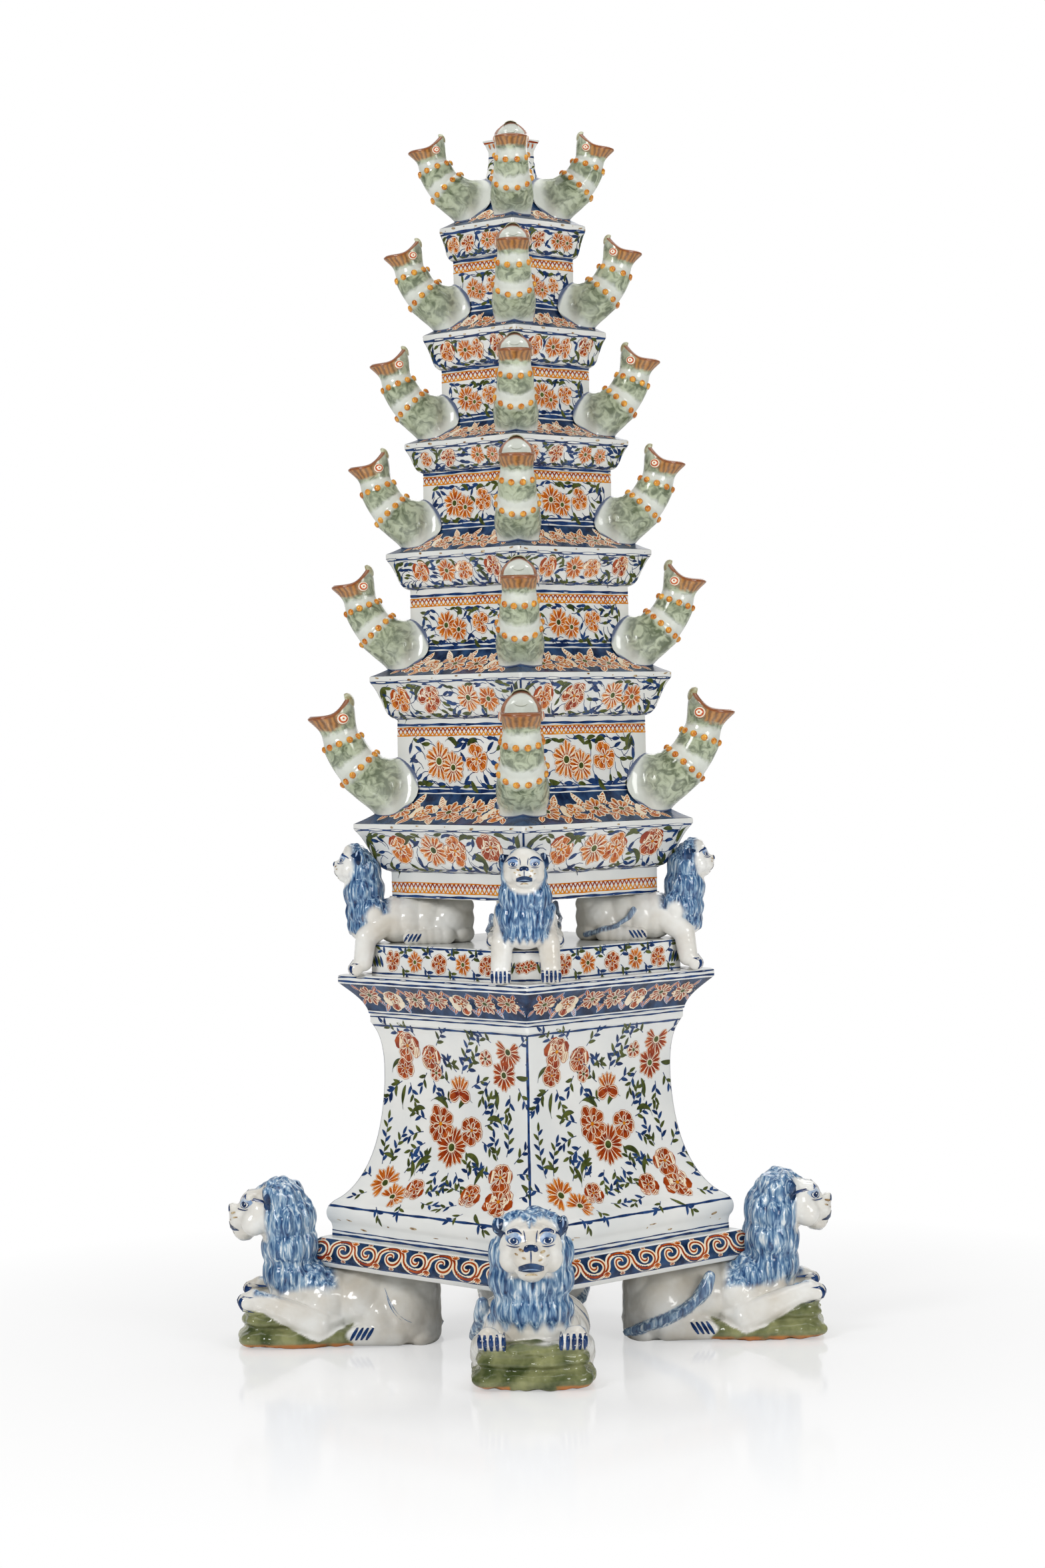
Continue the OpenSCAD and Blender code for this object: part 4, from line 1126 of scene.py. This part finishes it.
            x = np.cross(z, [0, 1, 0]) if abs(z[1]) < 0.9 else np.array([1.0, 0, 0])
            x /= np.linalg.norm(x)
            y = np.cross(z, x)
            base, rings, cols = len(verts), 12, 16
            for r in range(rings + 1):
                t = math.pi * 0.62 * r / rings
                for k in range(cols):
                    q = 2 * math.pi * k / cols
                    across = tall * math.cos(q) * x + wide * math.sin(q) * y
                    verts.append(mid + tall * 0.72 * math.cos(t) * z + math.sin(t) * across)
            for r in range(rings):
                for k in range(cols):
                    m = (k + 1) % cols
                    here, there = base + r * cols, base + (r + 1) * cols
                    quads.append((here + k, there + k, there + m, here + m))
                    index.append(((2, 1, 1, 2, 2, 1, 1, 2)[r] if r < 8 else 3) if lift == 0 else 3)
        verts = (np.array(verts) * size + root) @ turn.T / 1000
        piece(f"{node}_eyes", verts, quads, eye_paint, body, "spout_glaze", index)


# The lions: four big ones under the plate, each lying on a green mound, and four small ones on the cap.
# Modelled earthenware: masses joined, remeshed into one skin, the mane combed in; painted by attribute.
def clay(blobs, voxel, rounds):
    """Balls and ellipsoids (x, y, z, rx, ry, rz in mm) run together into one smooth closed skin."""
    bm = bmesh.new()
    for x, y, z, rx, ry, rz in blobs:
        place = Matrix.Translation((x / 1000, y / 1000, z / 1000))
        place = place @ Matrix.Diagonal((rx / 1000, ry / 1000, rz / 1000, 1))
        bmesh.ops.create_icosphere(bm, subdivisions=3, radius=1, matrix=place)
    mesh = bpy.data.meshes.new("clay")
    bm.to_mesh(mesh)
    bm.free()
    lump = bpy.data.objects.new("clay", mesh)
    bpy.context.collection.objects.link(lump)
    melt = lump.modifiers.new("melt", "REMESH")
    melt.mode, melt.voxel_size = "VOXEL", voxel / 1000
    calm = lump.modifiers.new("calm", "SMOOTH")
    calm.factor, calm.iterations = 0.5, rounds
    bpy.context.view_layer.update()
    made = bpy.data.meshes.new_from_object(lump.evaluated_get(bpy.context.evaluated_depsgraph_get()))
    bpy.data.objects.remove(lump)
    return made


def chain(*keys, n=8):
    """Balls along a bent limb: keys are (x, y, z, r)."""
    out = []
    for a, b in zip(keys, keys[1:]):
        for k in range(n):
            t = k / n
            x, y, z, r = (a[j] + (b[j] - a[j]) * t for j in range(4))
            out.append((x, y, z, r, r, r))
    x, y, z, r = keys[-1]
    return out + [(x, y, z, r, r, r)]


def both(blobs):
    """The masses and their mirror images across the figure's middle."""
    return blobs + [(b[0], -b[1]) + tuple(b[2:]) for b in blobs]


def lion_glaze(name, fine):
    """White, with a brushed blue mane, a glossy green mound and bare clay at its foot, by attribute."""
    mix = Recipe(name, 0.13)
    attr, blend = mix.attr, mix.blend

    def noisy(scale, lo, hi):
        stretch = mix.nodes.new("ShaderNodeMapRange")
        preset(stretch, From_Min=lo, From_Max=hi)
        mix.link(mix.cloud(Scale=scale, Detail=4), stretch.inputs["Value"])
        return stretch.outputs["Result"]

    colour = blend(noisy(26, 0.30, 0.66), lin(210, 203, 190), lin(237, 237, 233))
    drawn = mix.nodes.new("ShaderNodeMapping")
    preset(drawn, Scale=(1, 1, 0.17))
    mix.link(mix.place, drawn.inputs["Vector"])
    hairs = mix.cloud(drawn.outputs["Vector"], Scale=330 * fine, Detail=3, Distortion=0.5)
    stops = [(0.28, (24, 46, 84)), (0.38, (52, 86, 130)), (0.48, (92, 128, 164)), (0.57, (146, 174, 198)),
             (0.67, (224, 231, 234))]
    deeper = 0.035 if fine > 1 else 0
    colour = blend(attr("mane"), colour, mix.ramp(hairs, [(at + deeper, lin(*c)) for at, c in stops]))
    green = blend(noisy(46, 0.34, 0.66), lin(70, 80, 44), lin(152, 154, 108))
    colour = blend(attr("mound"), colour, green)
    bare = mix.calc("MULTIPLY", attr("clay"), noisy(60, 0.32, 0.46))
    return mix.finish(blend(bare, colour, lin(204, 132, 62)), 0.5)


def settle(mesh, change):
    """Moves every vertex by a function of its place in mm; returns the places."""
    co = np.empty(len(mesh.vertices) * 3)
    mesh.vertices.foreach_get("co", co)
    co = change(co.reshape(-1, 3) * 1000)
    mesh.vertices.foreach_set("co", (co / 1000).ravel())
    mesh.update()
    return co


def comb(co, nrm, depth, pitch, amount):
    """Locks of hair running down, as a share of depth along each normal."""
    lock = np.array([noise.noise(Vector((x * pitch, y * pitch, z * pitch * 0.16))) for x, y, z in co])
    return co + nrm * (depth * lock * amount)[:, None]


def normals(mesh):
    n = np.empty(len(mesh.vertices) * 3)
    mesh.vertices.foreach_get("normal", n)
    return n.reshape(-1, 3)


class Skin:
    """Painted marks dropped onto a mesh from a direction, as small meshes lying just off it."""

    def __init__(self, mesh):
        mesh.calc_loop_triangles()
        self.tree = BVHTree.FromPolygons([v.co for v in mesh.vertices], [f.vertices for f in mesh.polygons])
        self.work = {}

    def drop(self, pts, way, off):
        """pts in mm; each goes along way until it meets the skin."""
        out = []
        for p in pts:
            start = Vector(p) / 1000 - way * 0.05
            at, normal, _, _ = self.tree.ray_cast(start, way)
            if at is None:
                at, normal, _, _ = self.tree.find_nearest(Vector(p) / 1000)
            out.append(at + normal * off / 1000)
        return out

    def blob(self, colour, centre, u, v, way, off=0.3, n=14, rings=3):
        verts, faces = self.work.setdefault(colour, ([], []))
        base = len(verts)
        centre, u, v = (np.array(q, float) for q in (centre, u, v))
        turns = np.linspace(0, 2 * math.pi, n, endpoint=False)
        pts = [centre] + [centre + (u * math.cos(a) + v * math.sin(a)) * r / rings
                          for r in range(1, rings + 1) for a in turns]
        verts.extend(self.drop(pts, way, off))
        faces.extend((base, base + 1 + k, base + 1 + (k + 1) % n) for k in range(n))
        for r in range(rings - 1):
            a, b = base + 1 + r * n, base + 1 + (r + 1) * n
            faces.extend((a + k, b + k, b + (k + 1) % n, a + (k + 1) % n) for k in range(n))

    def stroke(self, colour, path, half, side, way, off=0.3, taper=0.3):
        verts, faces = self.work.setdefault(colour, ([], []))
        base, n = len(verts), len(path)
        w = half * (taper + (1 - taper) * np.sin(math.pi * np.linspace(0, 1, n)))
        path, side = np.array(path, float), np.array(side, float)
        for across in (1, 0.5, 0, -0.5, -1):
            verts.extend(self.drop(path + across * side * w[:, None], way, off))
        for r in range(4):
            a, b = base + r * n, base + (r + 1) * n
            faces.extend((a + k, a + k + 1, b + k + 1, b + k) for k in range(n - 1))


def line3(a, b, c, n=9):
    """A curve from a to c, drawn towards b."""
    a, b, c = (np.array(p, float) for p in (a, b, c))
    return [(1 - t) ** 2 * a + 2 * t * (1 - t) * b + t * t * c for t in np.linspace(0, 1, n)]


def lion_face(skin, k, nose, eye, mouth_z, ear):
    """Eyes with a painted highlight, brows, nose, an open mouth painted dark (blue lips and painted shade),
    worn spots and dark ears of a face that looks along +X.

    Places are (x, y, z) in mm, and k is the lion's size against a lower one.
    """
    way = Vector((-1, 0, -0.08)).normalized()

    def spot(colour, at, wide, tall, off, slope=0.0, n=14, rings=3):
        skin.blob(colour, at, (0, wide * k, slope * k), (0, 0, tall * k), way, off, n, rings)

    def line(colour, a, b, c, half, off=0.3, side=(0, 0, 1), n=9):
        skin.stroke(colour, line3(a, b, c, n), half * k, side, way, off)

    for sgn in (-1, 1):
        ex, ey, ez = eye[0], eye[1] * sgn, eye[2]
        pupil = (ex, ey - sgn * 0.3 * k, ez + 0.2 * k)
        spot("wash", (ex, ey, ez + 2.2 * k), 6.6, 5.4, 0.2, 0.8 * sgn)
        spot("blue", (ex, ey, ez), 4.7, 3.2, 0.25, 0.6 * sgn)
        spot("white", (ex, ey, ez), 3.9, 2.5, 0.32, 0.5 * sgn)
        spot("blue", pupil, 2.6, 2.5, 0.40)
        spot("ground", pupil, 1.5, 1.5, 0.46, n=10, rings=1)
        # A small white dot on each pupil: a painted highlight.
        spot("white", (ex, ey + 0.7 * k, ez + 1.0 * k), 0.6, 0.6, 0.52, n=8, rings=1)
        behind = (ear[0] - 4 * k, sgn * (ear[1] + 8 * k), ear[2] - 8 * k)
        skin.blob("ground", behind, (3.2 * k, 0, k), (-k, 0, 7.6 * k), Vector((0, -sgn, 0)), 0.35)
        line("blue", (ex, ey - sgn * 7 * k, ez + 5.6 * k), (ex, ey - sgn * 1 * k, ez + 12.6 * k),
             (ex, ey + sgn * 9.5 * k, ez + 3.4 * k), 1.4)
        line("blue", (ex, ey - sgn * 5 * k, ez - 4 * k), (ex, ey, ez - 5.8 * k),
             (ex, ey + sgn * 5.5 * k, ez - 3.2 * k), 0.5)
        for across, down, wide in ((8.5, 3.2, 2.2), (12.5, 6.5, 1.5), (6.5, 9.5, 1.7)):
            at = (nose[0] - 4, sgn * (across + 0.9 * sgn) * k, nose[2] - (down + 0.8 * sgn) * k)
            spot("rust", at, wide, 0.55 * wide, 0.24, 0.5 * sgn, n=9, rings=1)
        skin.blob("ground", (ear[0], ear[1] * sgn, ear[2]), (0, 3.6 * k, sgn * 0.8 * k),
                  (0, -sgn * 1.2 * k, 7.2 * k), way, 0.35)
        line("wash", (ear[0], sgn * (ear[1] + 0.6 * k), ear[2] + 4 * k),
             (ear[0], sgn * (ear[1] + 1.6 * k), ear[2]),
             (ear[0], sgn * (ear[1] + 0.4 * k), ear[2] - 4 * k), 0.8, 0.45, (0, 1, 0), 5)
    spot("ground", nose, 5.4, 2.4, 0.35)
    for sgn in (-1, 1):
        spot("blue", (nose[0], sgn * 3.6 * k, nose[2] - 1.6 * k), 2.2, 1.8, 0.36, n=10, rings=2)
        line("blue", (nose[0] - 6, sgn * 4.4 * k, nose[2] + 3 * k),
             (nose[0] - 8, sgn * 4.4 * k, nose[2] + 8 * k),
             (nose[0] - 10, sgn * 5.6 * k, nose[2] + 12 * k), 0.5, side=(0, 1, 0))
    line("blue", (nose[0], 0, nose[2] - 2 * k), (nose[0], 0, nose[2] - 5 * k),
         (nose[0], 0, mouth_z + 4 * k), 0.6, side=(0, 1, 0), n=5)
    # The mouth is not modelled open: a dark-blue band is painted for it, its blue lips and the painted shade
    # inside the mouth.
    lips_and_shade = [(nose[0] - 4, y * k, mouth_z + (0.6 - 0.9 * (y / 10) ** 2) * k) for y in np.linspace(-10, 10, 13)]
    skin.stroke("ground", lips_and_shade, 3.7 * k, (0, 0, 1), way, 0.34, 0.5)
    skin.stroke("wash", [(x, y * 0.7, z - 1.2 * k) for x, y, z in lips_and_shade], 0.5 * k, (0, 0, 1), way, 0.45)
    skin.stroke("rust", [(x, y * 0.5, z - 5.4 * k) for x, y, z in lips_and_shade], 0.9 * k, (0, 0, 1), way, 0.34)


def place_lions(kind, mesh, skin, masks, mat):
    """Four copies, one to a corner, each with its painted marks."""
    for label, values in masks.items():
        store = mesh.attributes.new(label, "FLOAT", "POINT")
        store.data.foreach_set("value", np.asarray(values, np.float32))
    mesh.polygons.foreach_set("use_smooth", [True] * len(mesh.polygons))
    mesh.materials.clear()
    mesh.materials.append(mat)
    for k, side in enumerate(SIDES):
        turn = Matrix.Rotation(k * math.pi / 2, 4, "Z")
        copy = mesh.copy()
        copy.transform(turn)
        obj = bpy.data.objects.new(f"{kind}_{side}_figure", copy)
        bpy.context.collection.objects.link(obj)
        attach(obj, "stand")
        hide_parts(f"{kind}_{side}")
        for colour, (verts, faces) in skin.work.items():
            verts = [turn @ v for v in verts]
            piece(f"{kind}_{side}_{colour}", verts, faces, [paint(colour)], "stand", "lion_glaze")


# Lower lions: each lies on a green rock of three ledges with its forepaws on the top one, its head at the
# plate's corner and its tail along the right flank. One figure modelled, then set at the four corners.
# Chest and neck, then the head, then the body and rump; each mass is (x, y, z, rx, ry, rz) in mm.
low = [(209, 0, 60, 25, 34, 24), (210, 0, 84, 25, 35, 28), (212, 0, 106, 25, 34, 26),
       (217, 0, 126, 20, 29, 17.5), (206, 0, 44, 24, 33, 20), (193, 0, 52, 24, 35, 22),
       (234, 0, 114, 18, 26, 21), (241, 0, 121, 13, 18, 12.5), (250, 0, 109, 13.5, 16.5, 12),
       (256.5, 0, 105, 7, 12, 9), (260, 0, 117, 4.6, 7, 5), (250, 0, 95.5, 10, 12, 6.5),
       (116, 0, 33, 37, 44, 33), (110, 0, 15, 32, 46, 21), (97, 0, 7, 18, 42, 14), (96, 0, 42, 17, 35, 22),
       (94, 0, 26, 15, 39, 26), (145, 0, 35, 40, 41, 31), (178, 0, 37, 30, 40, 30), (190, 0, 15, 20, 27, 14),
       (214, 0, 18, 24, 27, 17)]
# Brows, cheeks, jowls, ears and haunches; legs; claws and hind paws.
low += both([(243, 13, 128, 7, 8, 4), (241, 15, 106, 11.5, 11, 12), (254, 7, 108, 8, 8, 7),
             (226, 26, 131, 5.5, 4.5, 8),
             (112, 24, 29, 26, 25, 27), (128, 27, 24, 21, 20, 22)])
low += both(chain((116, 36, 12, 12), (150, 39, 10, 9))
            + chain((184, 39, 19, 13), (206, 39, 29, 12), (240, 35, 42, 9.5), n=6))
low += both([(247, 33, 41, 8.5, 4.8, 7.5), (246, 41, 40, 8, 4.4, 7), (246, 25.5, 40, 8, 4.4, 7),
             (156, 40, 9, 8, 9, 8)])
TAIL = ((82, -34, 8, 4), (100, -46, 15, 4.2), (118, -49.5, 22, 4.4), (134, -47.5, 30, 4.6),
        (144, -43.5, 38, 5.4), (150, -42.5, 46, 6.6), (154, -41, 56, 5.4))
low += chain(*TAIL, n=6)
LEDGES = ((166, 242, 8.5, 35, 8.5), (178, 239, 22.6, 31, 5.4), (207, 238, 31.6, 28, 5.2))
for k, (x0, x1, z, half, r) in enumerate(LEDGES):
    for x in np.linspace(x0, x1, 12):
        for y in np.linspace(-half, half, 8):
            lift = 0.8 * math.sin(x * 0.07 + y * 0.08 + k)
            low.append((x + 1.5 * math.sin(y * 0.11 + k), y, z + lift, 13, 15, r))
mesh = clay(low, 1.7, 4)
LION_REACH = 263.4


def shape_low(co):
    """Combs the mane, roughens the rock and flattens the sole and the seat; keeps both masks."""
    x, y, z = co.T
    nrm = normals(mesh)
    line = 138.5 - 6 * np.exp(-(y / 6) ** 2) - 0.006 * y * y + 1.2 * np.sin(y * 1.3)
    face = (smooth(x - 0.06 * np.abs(y), 227, 231) * smooth(z + 0.004 * y * y, 88, 92)
            * (1 - smooth(z, line - 1.5, line + 1.5)))
    hair = (smooth(x - 0.22 * np.clip(z - 50, 0, 90), 164, 172) * (1 - face)
            * smooth(z + 3 * np.sin(y * 0.5), 44, 52) * (1 - smooth(x, 238, 242) * (z < 60)))
    co = comb(co, nrm, 3.2, 0.16, hair)
    rough = np.array([noise.noise(Vector(q) * 0.05) + 0.8 * noise.noise(Vector(q) * 0.11) for q in co])
    side = np.interp(x, (154, 172, 184, 200, 216, 232, 242), (20, 12, 6, 12, 21, 31, 33))
    top = np.where(np.abs(y) > 24, side, 36.5)
    rock = (1 - smooth(z - top - rough, 0, 1.5)) * smooth(x + 3 * np.sin(z * 0.4), 156, 159)
    co = co + nrm * (1.9 * rough * rock)[:, None]
    co[:, 2] = np.maximum(co[:, 2], 0.0)
    under = np.abs(co[:, 0]) + np.abs(co[:, 1]) < PLATE - 3
    co[:, 2] = np.where(under & (co[:, 2] > PLATE_Z - 0.4) & (co[:, 2] < 92), PLATE_Z - 0.4, co[:, 2])
    co[:, 0] = np.minimum(co[:, 0], LION_REACH)
    shape_low.hair, shape_low.rock = hair, rock
    return co


def rope(co, keys, grow):
    """1 on the skin of a tail that runs through keys, 0 off it."""
    best = np.full(len(co), 9.0)
    for a, b in zip(keys, keys[1:]):
        p, q = np.array(a[:3], float), np.array(b[:3], float)
        t = np.clip((co - p) @ (q - p) / ((q - p) @ (q - p)), 0, 1)
        gap = np.linalg.norm(co - p - t[:, None] * (q - p), axis=1) - (a[3] + (b[3] - a[3]) * t)
        best = np.minimum(best, gap)
    return 1 - smooth(best, grow, grow + 1.0)


co = settle(mesh, shape_low)
tail = rope(co, TAIL, 0.7)
masks = {"mane": np.clip(shape_low.hair + 0.92 * tail, 0, 1), "mound": shape_low.rock * (1 - tail),
         "clay": shape_low.rock * (1 - smooth(co[:, 2], 3.4, 5.6)) * (np.abs(co[:, 1]) > 18)}
skin = Skin(mesh)
lion_face(skin, 1.0, (263, 0, 118), (250, 14, 121.5), 101, (232, 25.5, 133.5))
for sgn in (-1, 1):
    for y in (23.4, 28.6, 33.4, 38.4, 42.6):
        path = line3((253, sgn * y, 46.5), (255, sgn * y, 41), (254, sgn * (y - 0.5), 33.5), 6)
        skin.stroke("blue", path, 1.8, (0, 1, 0), Vector((-1, 0, -0.1)).normalized(), 0.3, 0.5)
    for x in (140, 144.5, 149, 153.5):
        path = line3((x - 3, sgn * 52, 17.5), (x, sgn * 52, 13), (x + 3.2, sgn * 52, 7.5), 6)
        skin.stroke("blue", path, 1.7, (1, 0, 0), Vector((0, -sgn, 0)), 0.3, 0.5)
for path in (line3((127, 60, 50), (118, 60, 27), (104, 60, 22), 10),
             line3((125, 60, 44), (121, 60, 30), (112, 60, 24), 8)):
    skin.stroke("wash", path, 1.9, (0.7, 0, 0.7), Vector((0, -1, 0)), 0.3, 0.2)
    skin.stroke("blue", path, 0.7, (0.7, 0, 0.7), Vector((0, -1, 0)), 0.36, 0.2)
place_lions("lower_lion", mesh, skin, masks, lion_glaze("lion_glaze_lower", 1.0))

# Upper lions: the same beast at two thirds, standing with its forepaws on the cornice and its rump under
# the lowest tier, which rests on the four backs. One figure modelled and painted, then set four times.
p = LION_Z
# Chest, neck and head, then the face, then the rump and body, as the lower lions' masses.
up = [(140, 0, p + 16, 15, 19, 15), (138, 0, p + 28, 18, 23, 20), (140, 0, p + 45, 18, 22.5, 21),
      (141, 0, p + 62, 16, 19.5, 18), (147, 0, p + 70, 14.5, 17.5, 16), (157, 0, p + 65, 9, 12.5, 9),
      (163, 0, p + 69, 3.8, 5, 3.6), (156, 0, p + 57.5, 6.5, 8, 4.5), (149, 0, p + 82, 8, 9, 5),
      (66, 0, p + 20, 22, 28, 22), (57, 0, p + 7, 13, 25, 10), (57, 0, p + 31, 13, 22, 10),
      (84, 0, p + 20, 24, 27, 21.5), (100, 0, p + 20, 22, 27, 21.5), (112, 0, p + 20, 21, 26, 21)]
up += both([(154, 8, p + 77, 5.5, 5.5, 3), (152, 10, p + 64, 7.5, 7, 7.5), (160, 5, p + 63, 5.4, 5.4, 4.8),
            (142, 17, p + 77, 3.6, 3, 4.8), (142, 16.5, p + 73, 5, 4, 5),
            (71, 13, p + 16, 17, 15, 17), (80, 15.5, p + 11, 12, 12, 11), (130, 17, p + 28, 10, 9, 14)])
up += both(chain((68, 25, p + 7, 8), (100, 27, p + 5, 6), n=5)
           + chain((118, 15, p + 20, 11), (138, 19.5, p + 6, 9.5), (141, 21, 332, 8.5), n=5))
up += both([(148, 21, 326, 6.5, 4, 6.5), (147, 26.5, 326, 6, 3.6, 6), (147, 15.5, 326, 6, 3.6, 6)])
TAIL = ((52, -22, p + 5, 1.8), (64, -30, p + 9, 1.9), (80, -32.2, p + 14, 2), (90, -29, p + 20, 2.4),
        (94, -28, p + 27, 2.6))
up += chain(*TAIL, n=5)
mesh = clay(up, 1.1, 4)
first = tiers[0]
keep = (first.z > TIER_Z[0] - 1) & (np.arange(len(first.z)) < np.argmax(first.z) + 1)
lid_z, lid_r = first.z[keep][3:], first.w[keep][3:] * math.sqrt(2)


def shape_up(co):
    """Combs the mane, keeps its mask, and flattens the back where the lowest tier rests on it."""
    x, y, z = co.T
    nrm = normals(mesh)
    far = np.linalg.norm((co - np.array([158, 0, p + 68])) * np.array([1, 0.95, 0.95]), axis=1)
    face = 1 - smooth(far, 17, 20.5)
    hair = (smooth(x, 114, 122) * (1 - face) * smooth(z + 2 * np.sin(y), p + 6, p + 11)
            * (1 - smooth(np.abs(y) - 0.3 * (z - p - 10), 17, 20)))
    co = comb(co, nrm, 2.0, 0.24, hair)
    shape_up.hair = hair
    co[:, 2] = np.maximum(co[:, 2], PLINTH_Z + 0.1)
    reach = np.abs(co[:, 0]) + np.abs(co[:, 1])
    order = np.argsort(lid_z)
    wall = np.interp(co[:, 2], lid_z[order], np.maximum.accumulate(lid_r[order])) + 1.8
    near = (co[:, 2] > TIER_Z[0] - 0.6) & (reach < wall)
    low_enough = near & (co[:, 2] < TIER_Z[0] + 14) & (reach < 114)
    co[:, 2] = np.where(low_enough, TIER_Z[0] - 0.6, co[:, 2])
    co[:, 0] = np.where(near & ~low_enough, wall - np.abs(co[:, 1]), co[:, 0])
    return co


co = settle(mesh, shape_up)
masks = {"mane": np.clip(shape_up.hair + 0.85 * rope(co, TAIL, 0.2), 0, 1),
         "mound": np.zeros(len(co)), "clay": np.zeros(len(co))}
skin = Skin(mesh)
lion_face(skin, 0.66, (165, 0, p + 70), (154, 9, p + 72.6), p + 60.5, (146, 16.8, p + 79))
for sgn in (-1, 1):
    for y in (14, 17.5, 21, 24.5, 28):
        path = line3((153, sgn * y, 331), (154, sgn * y, 326), (153, sgn * y, 321.5), 5)
        skin.stroke("blue", path, 1.25, (0, 1, 0), Vector((-1, 0, 0)), 0.25, 0.6)
    for x in (92, 95.5, 99, 102.5):
        path = line3((x - 2, sgn * 40, p + 9), (x, sgn * 40, p + 6), (x + 2, sgn * 40, p + 2.5), 5)
        skin.stroke("blue", path, 1.15, (1, 0, 0), Vector((0, -sgn, 0)), 0.25, 0.5)
place_lions("upper_lion", mesh, skin, masks, lion_glaze("lion_glaze_upper", 1.5))
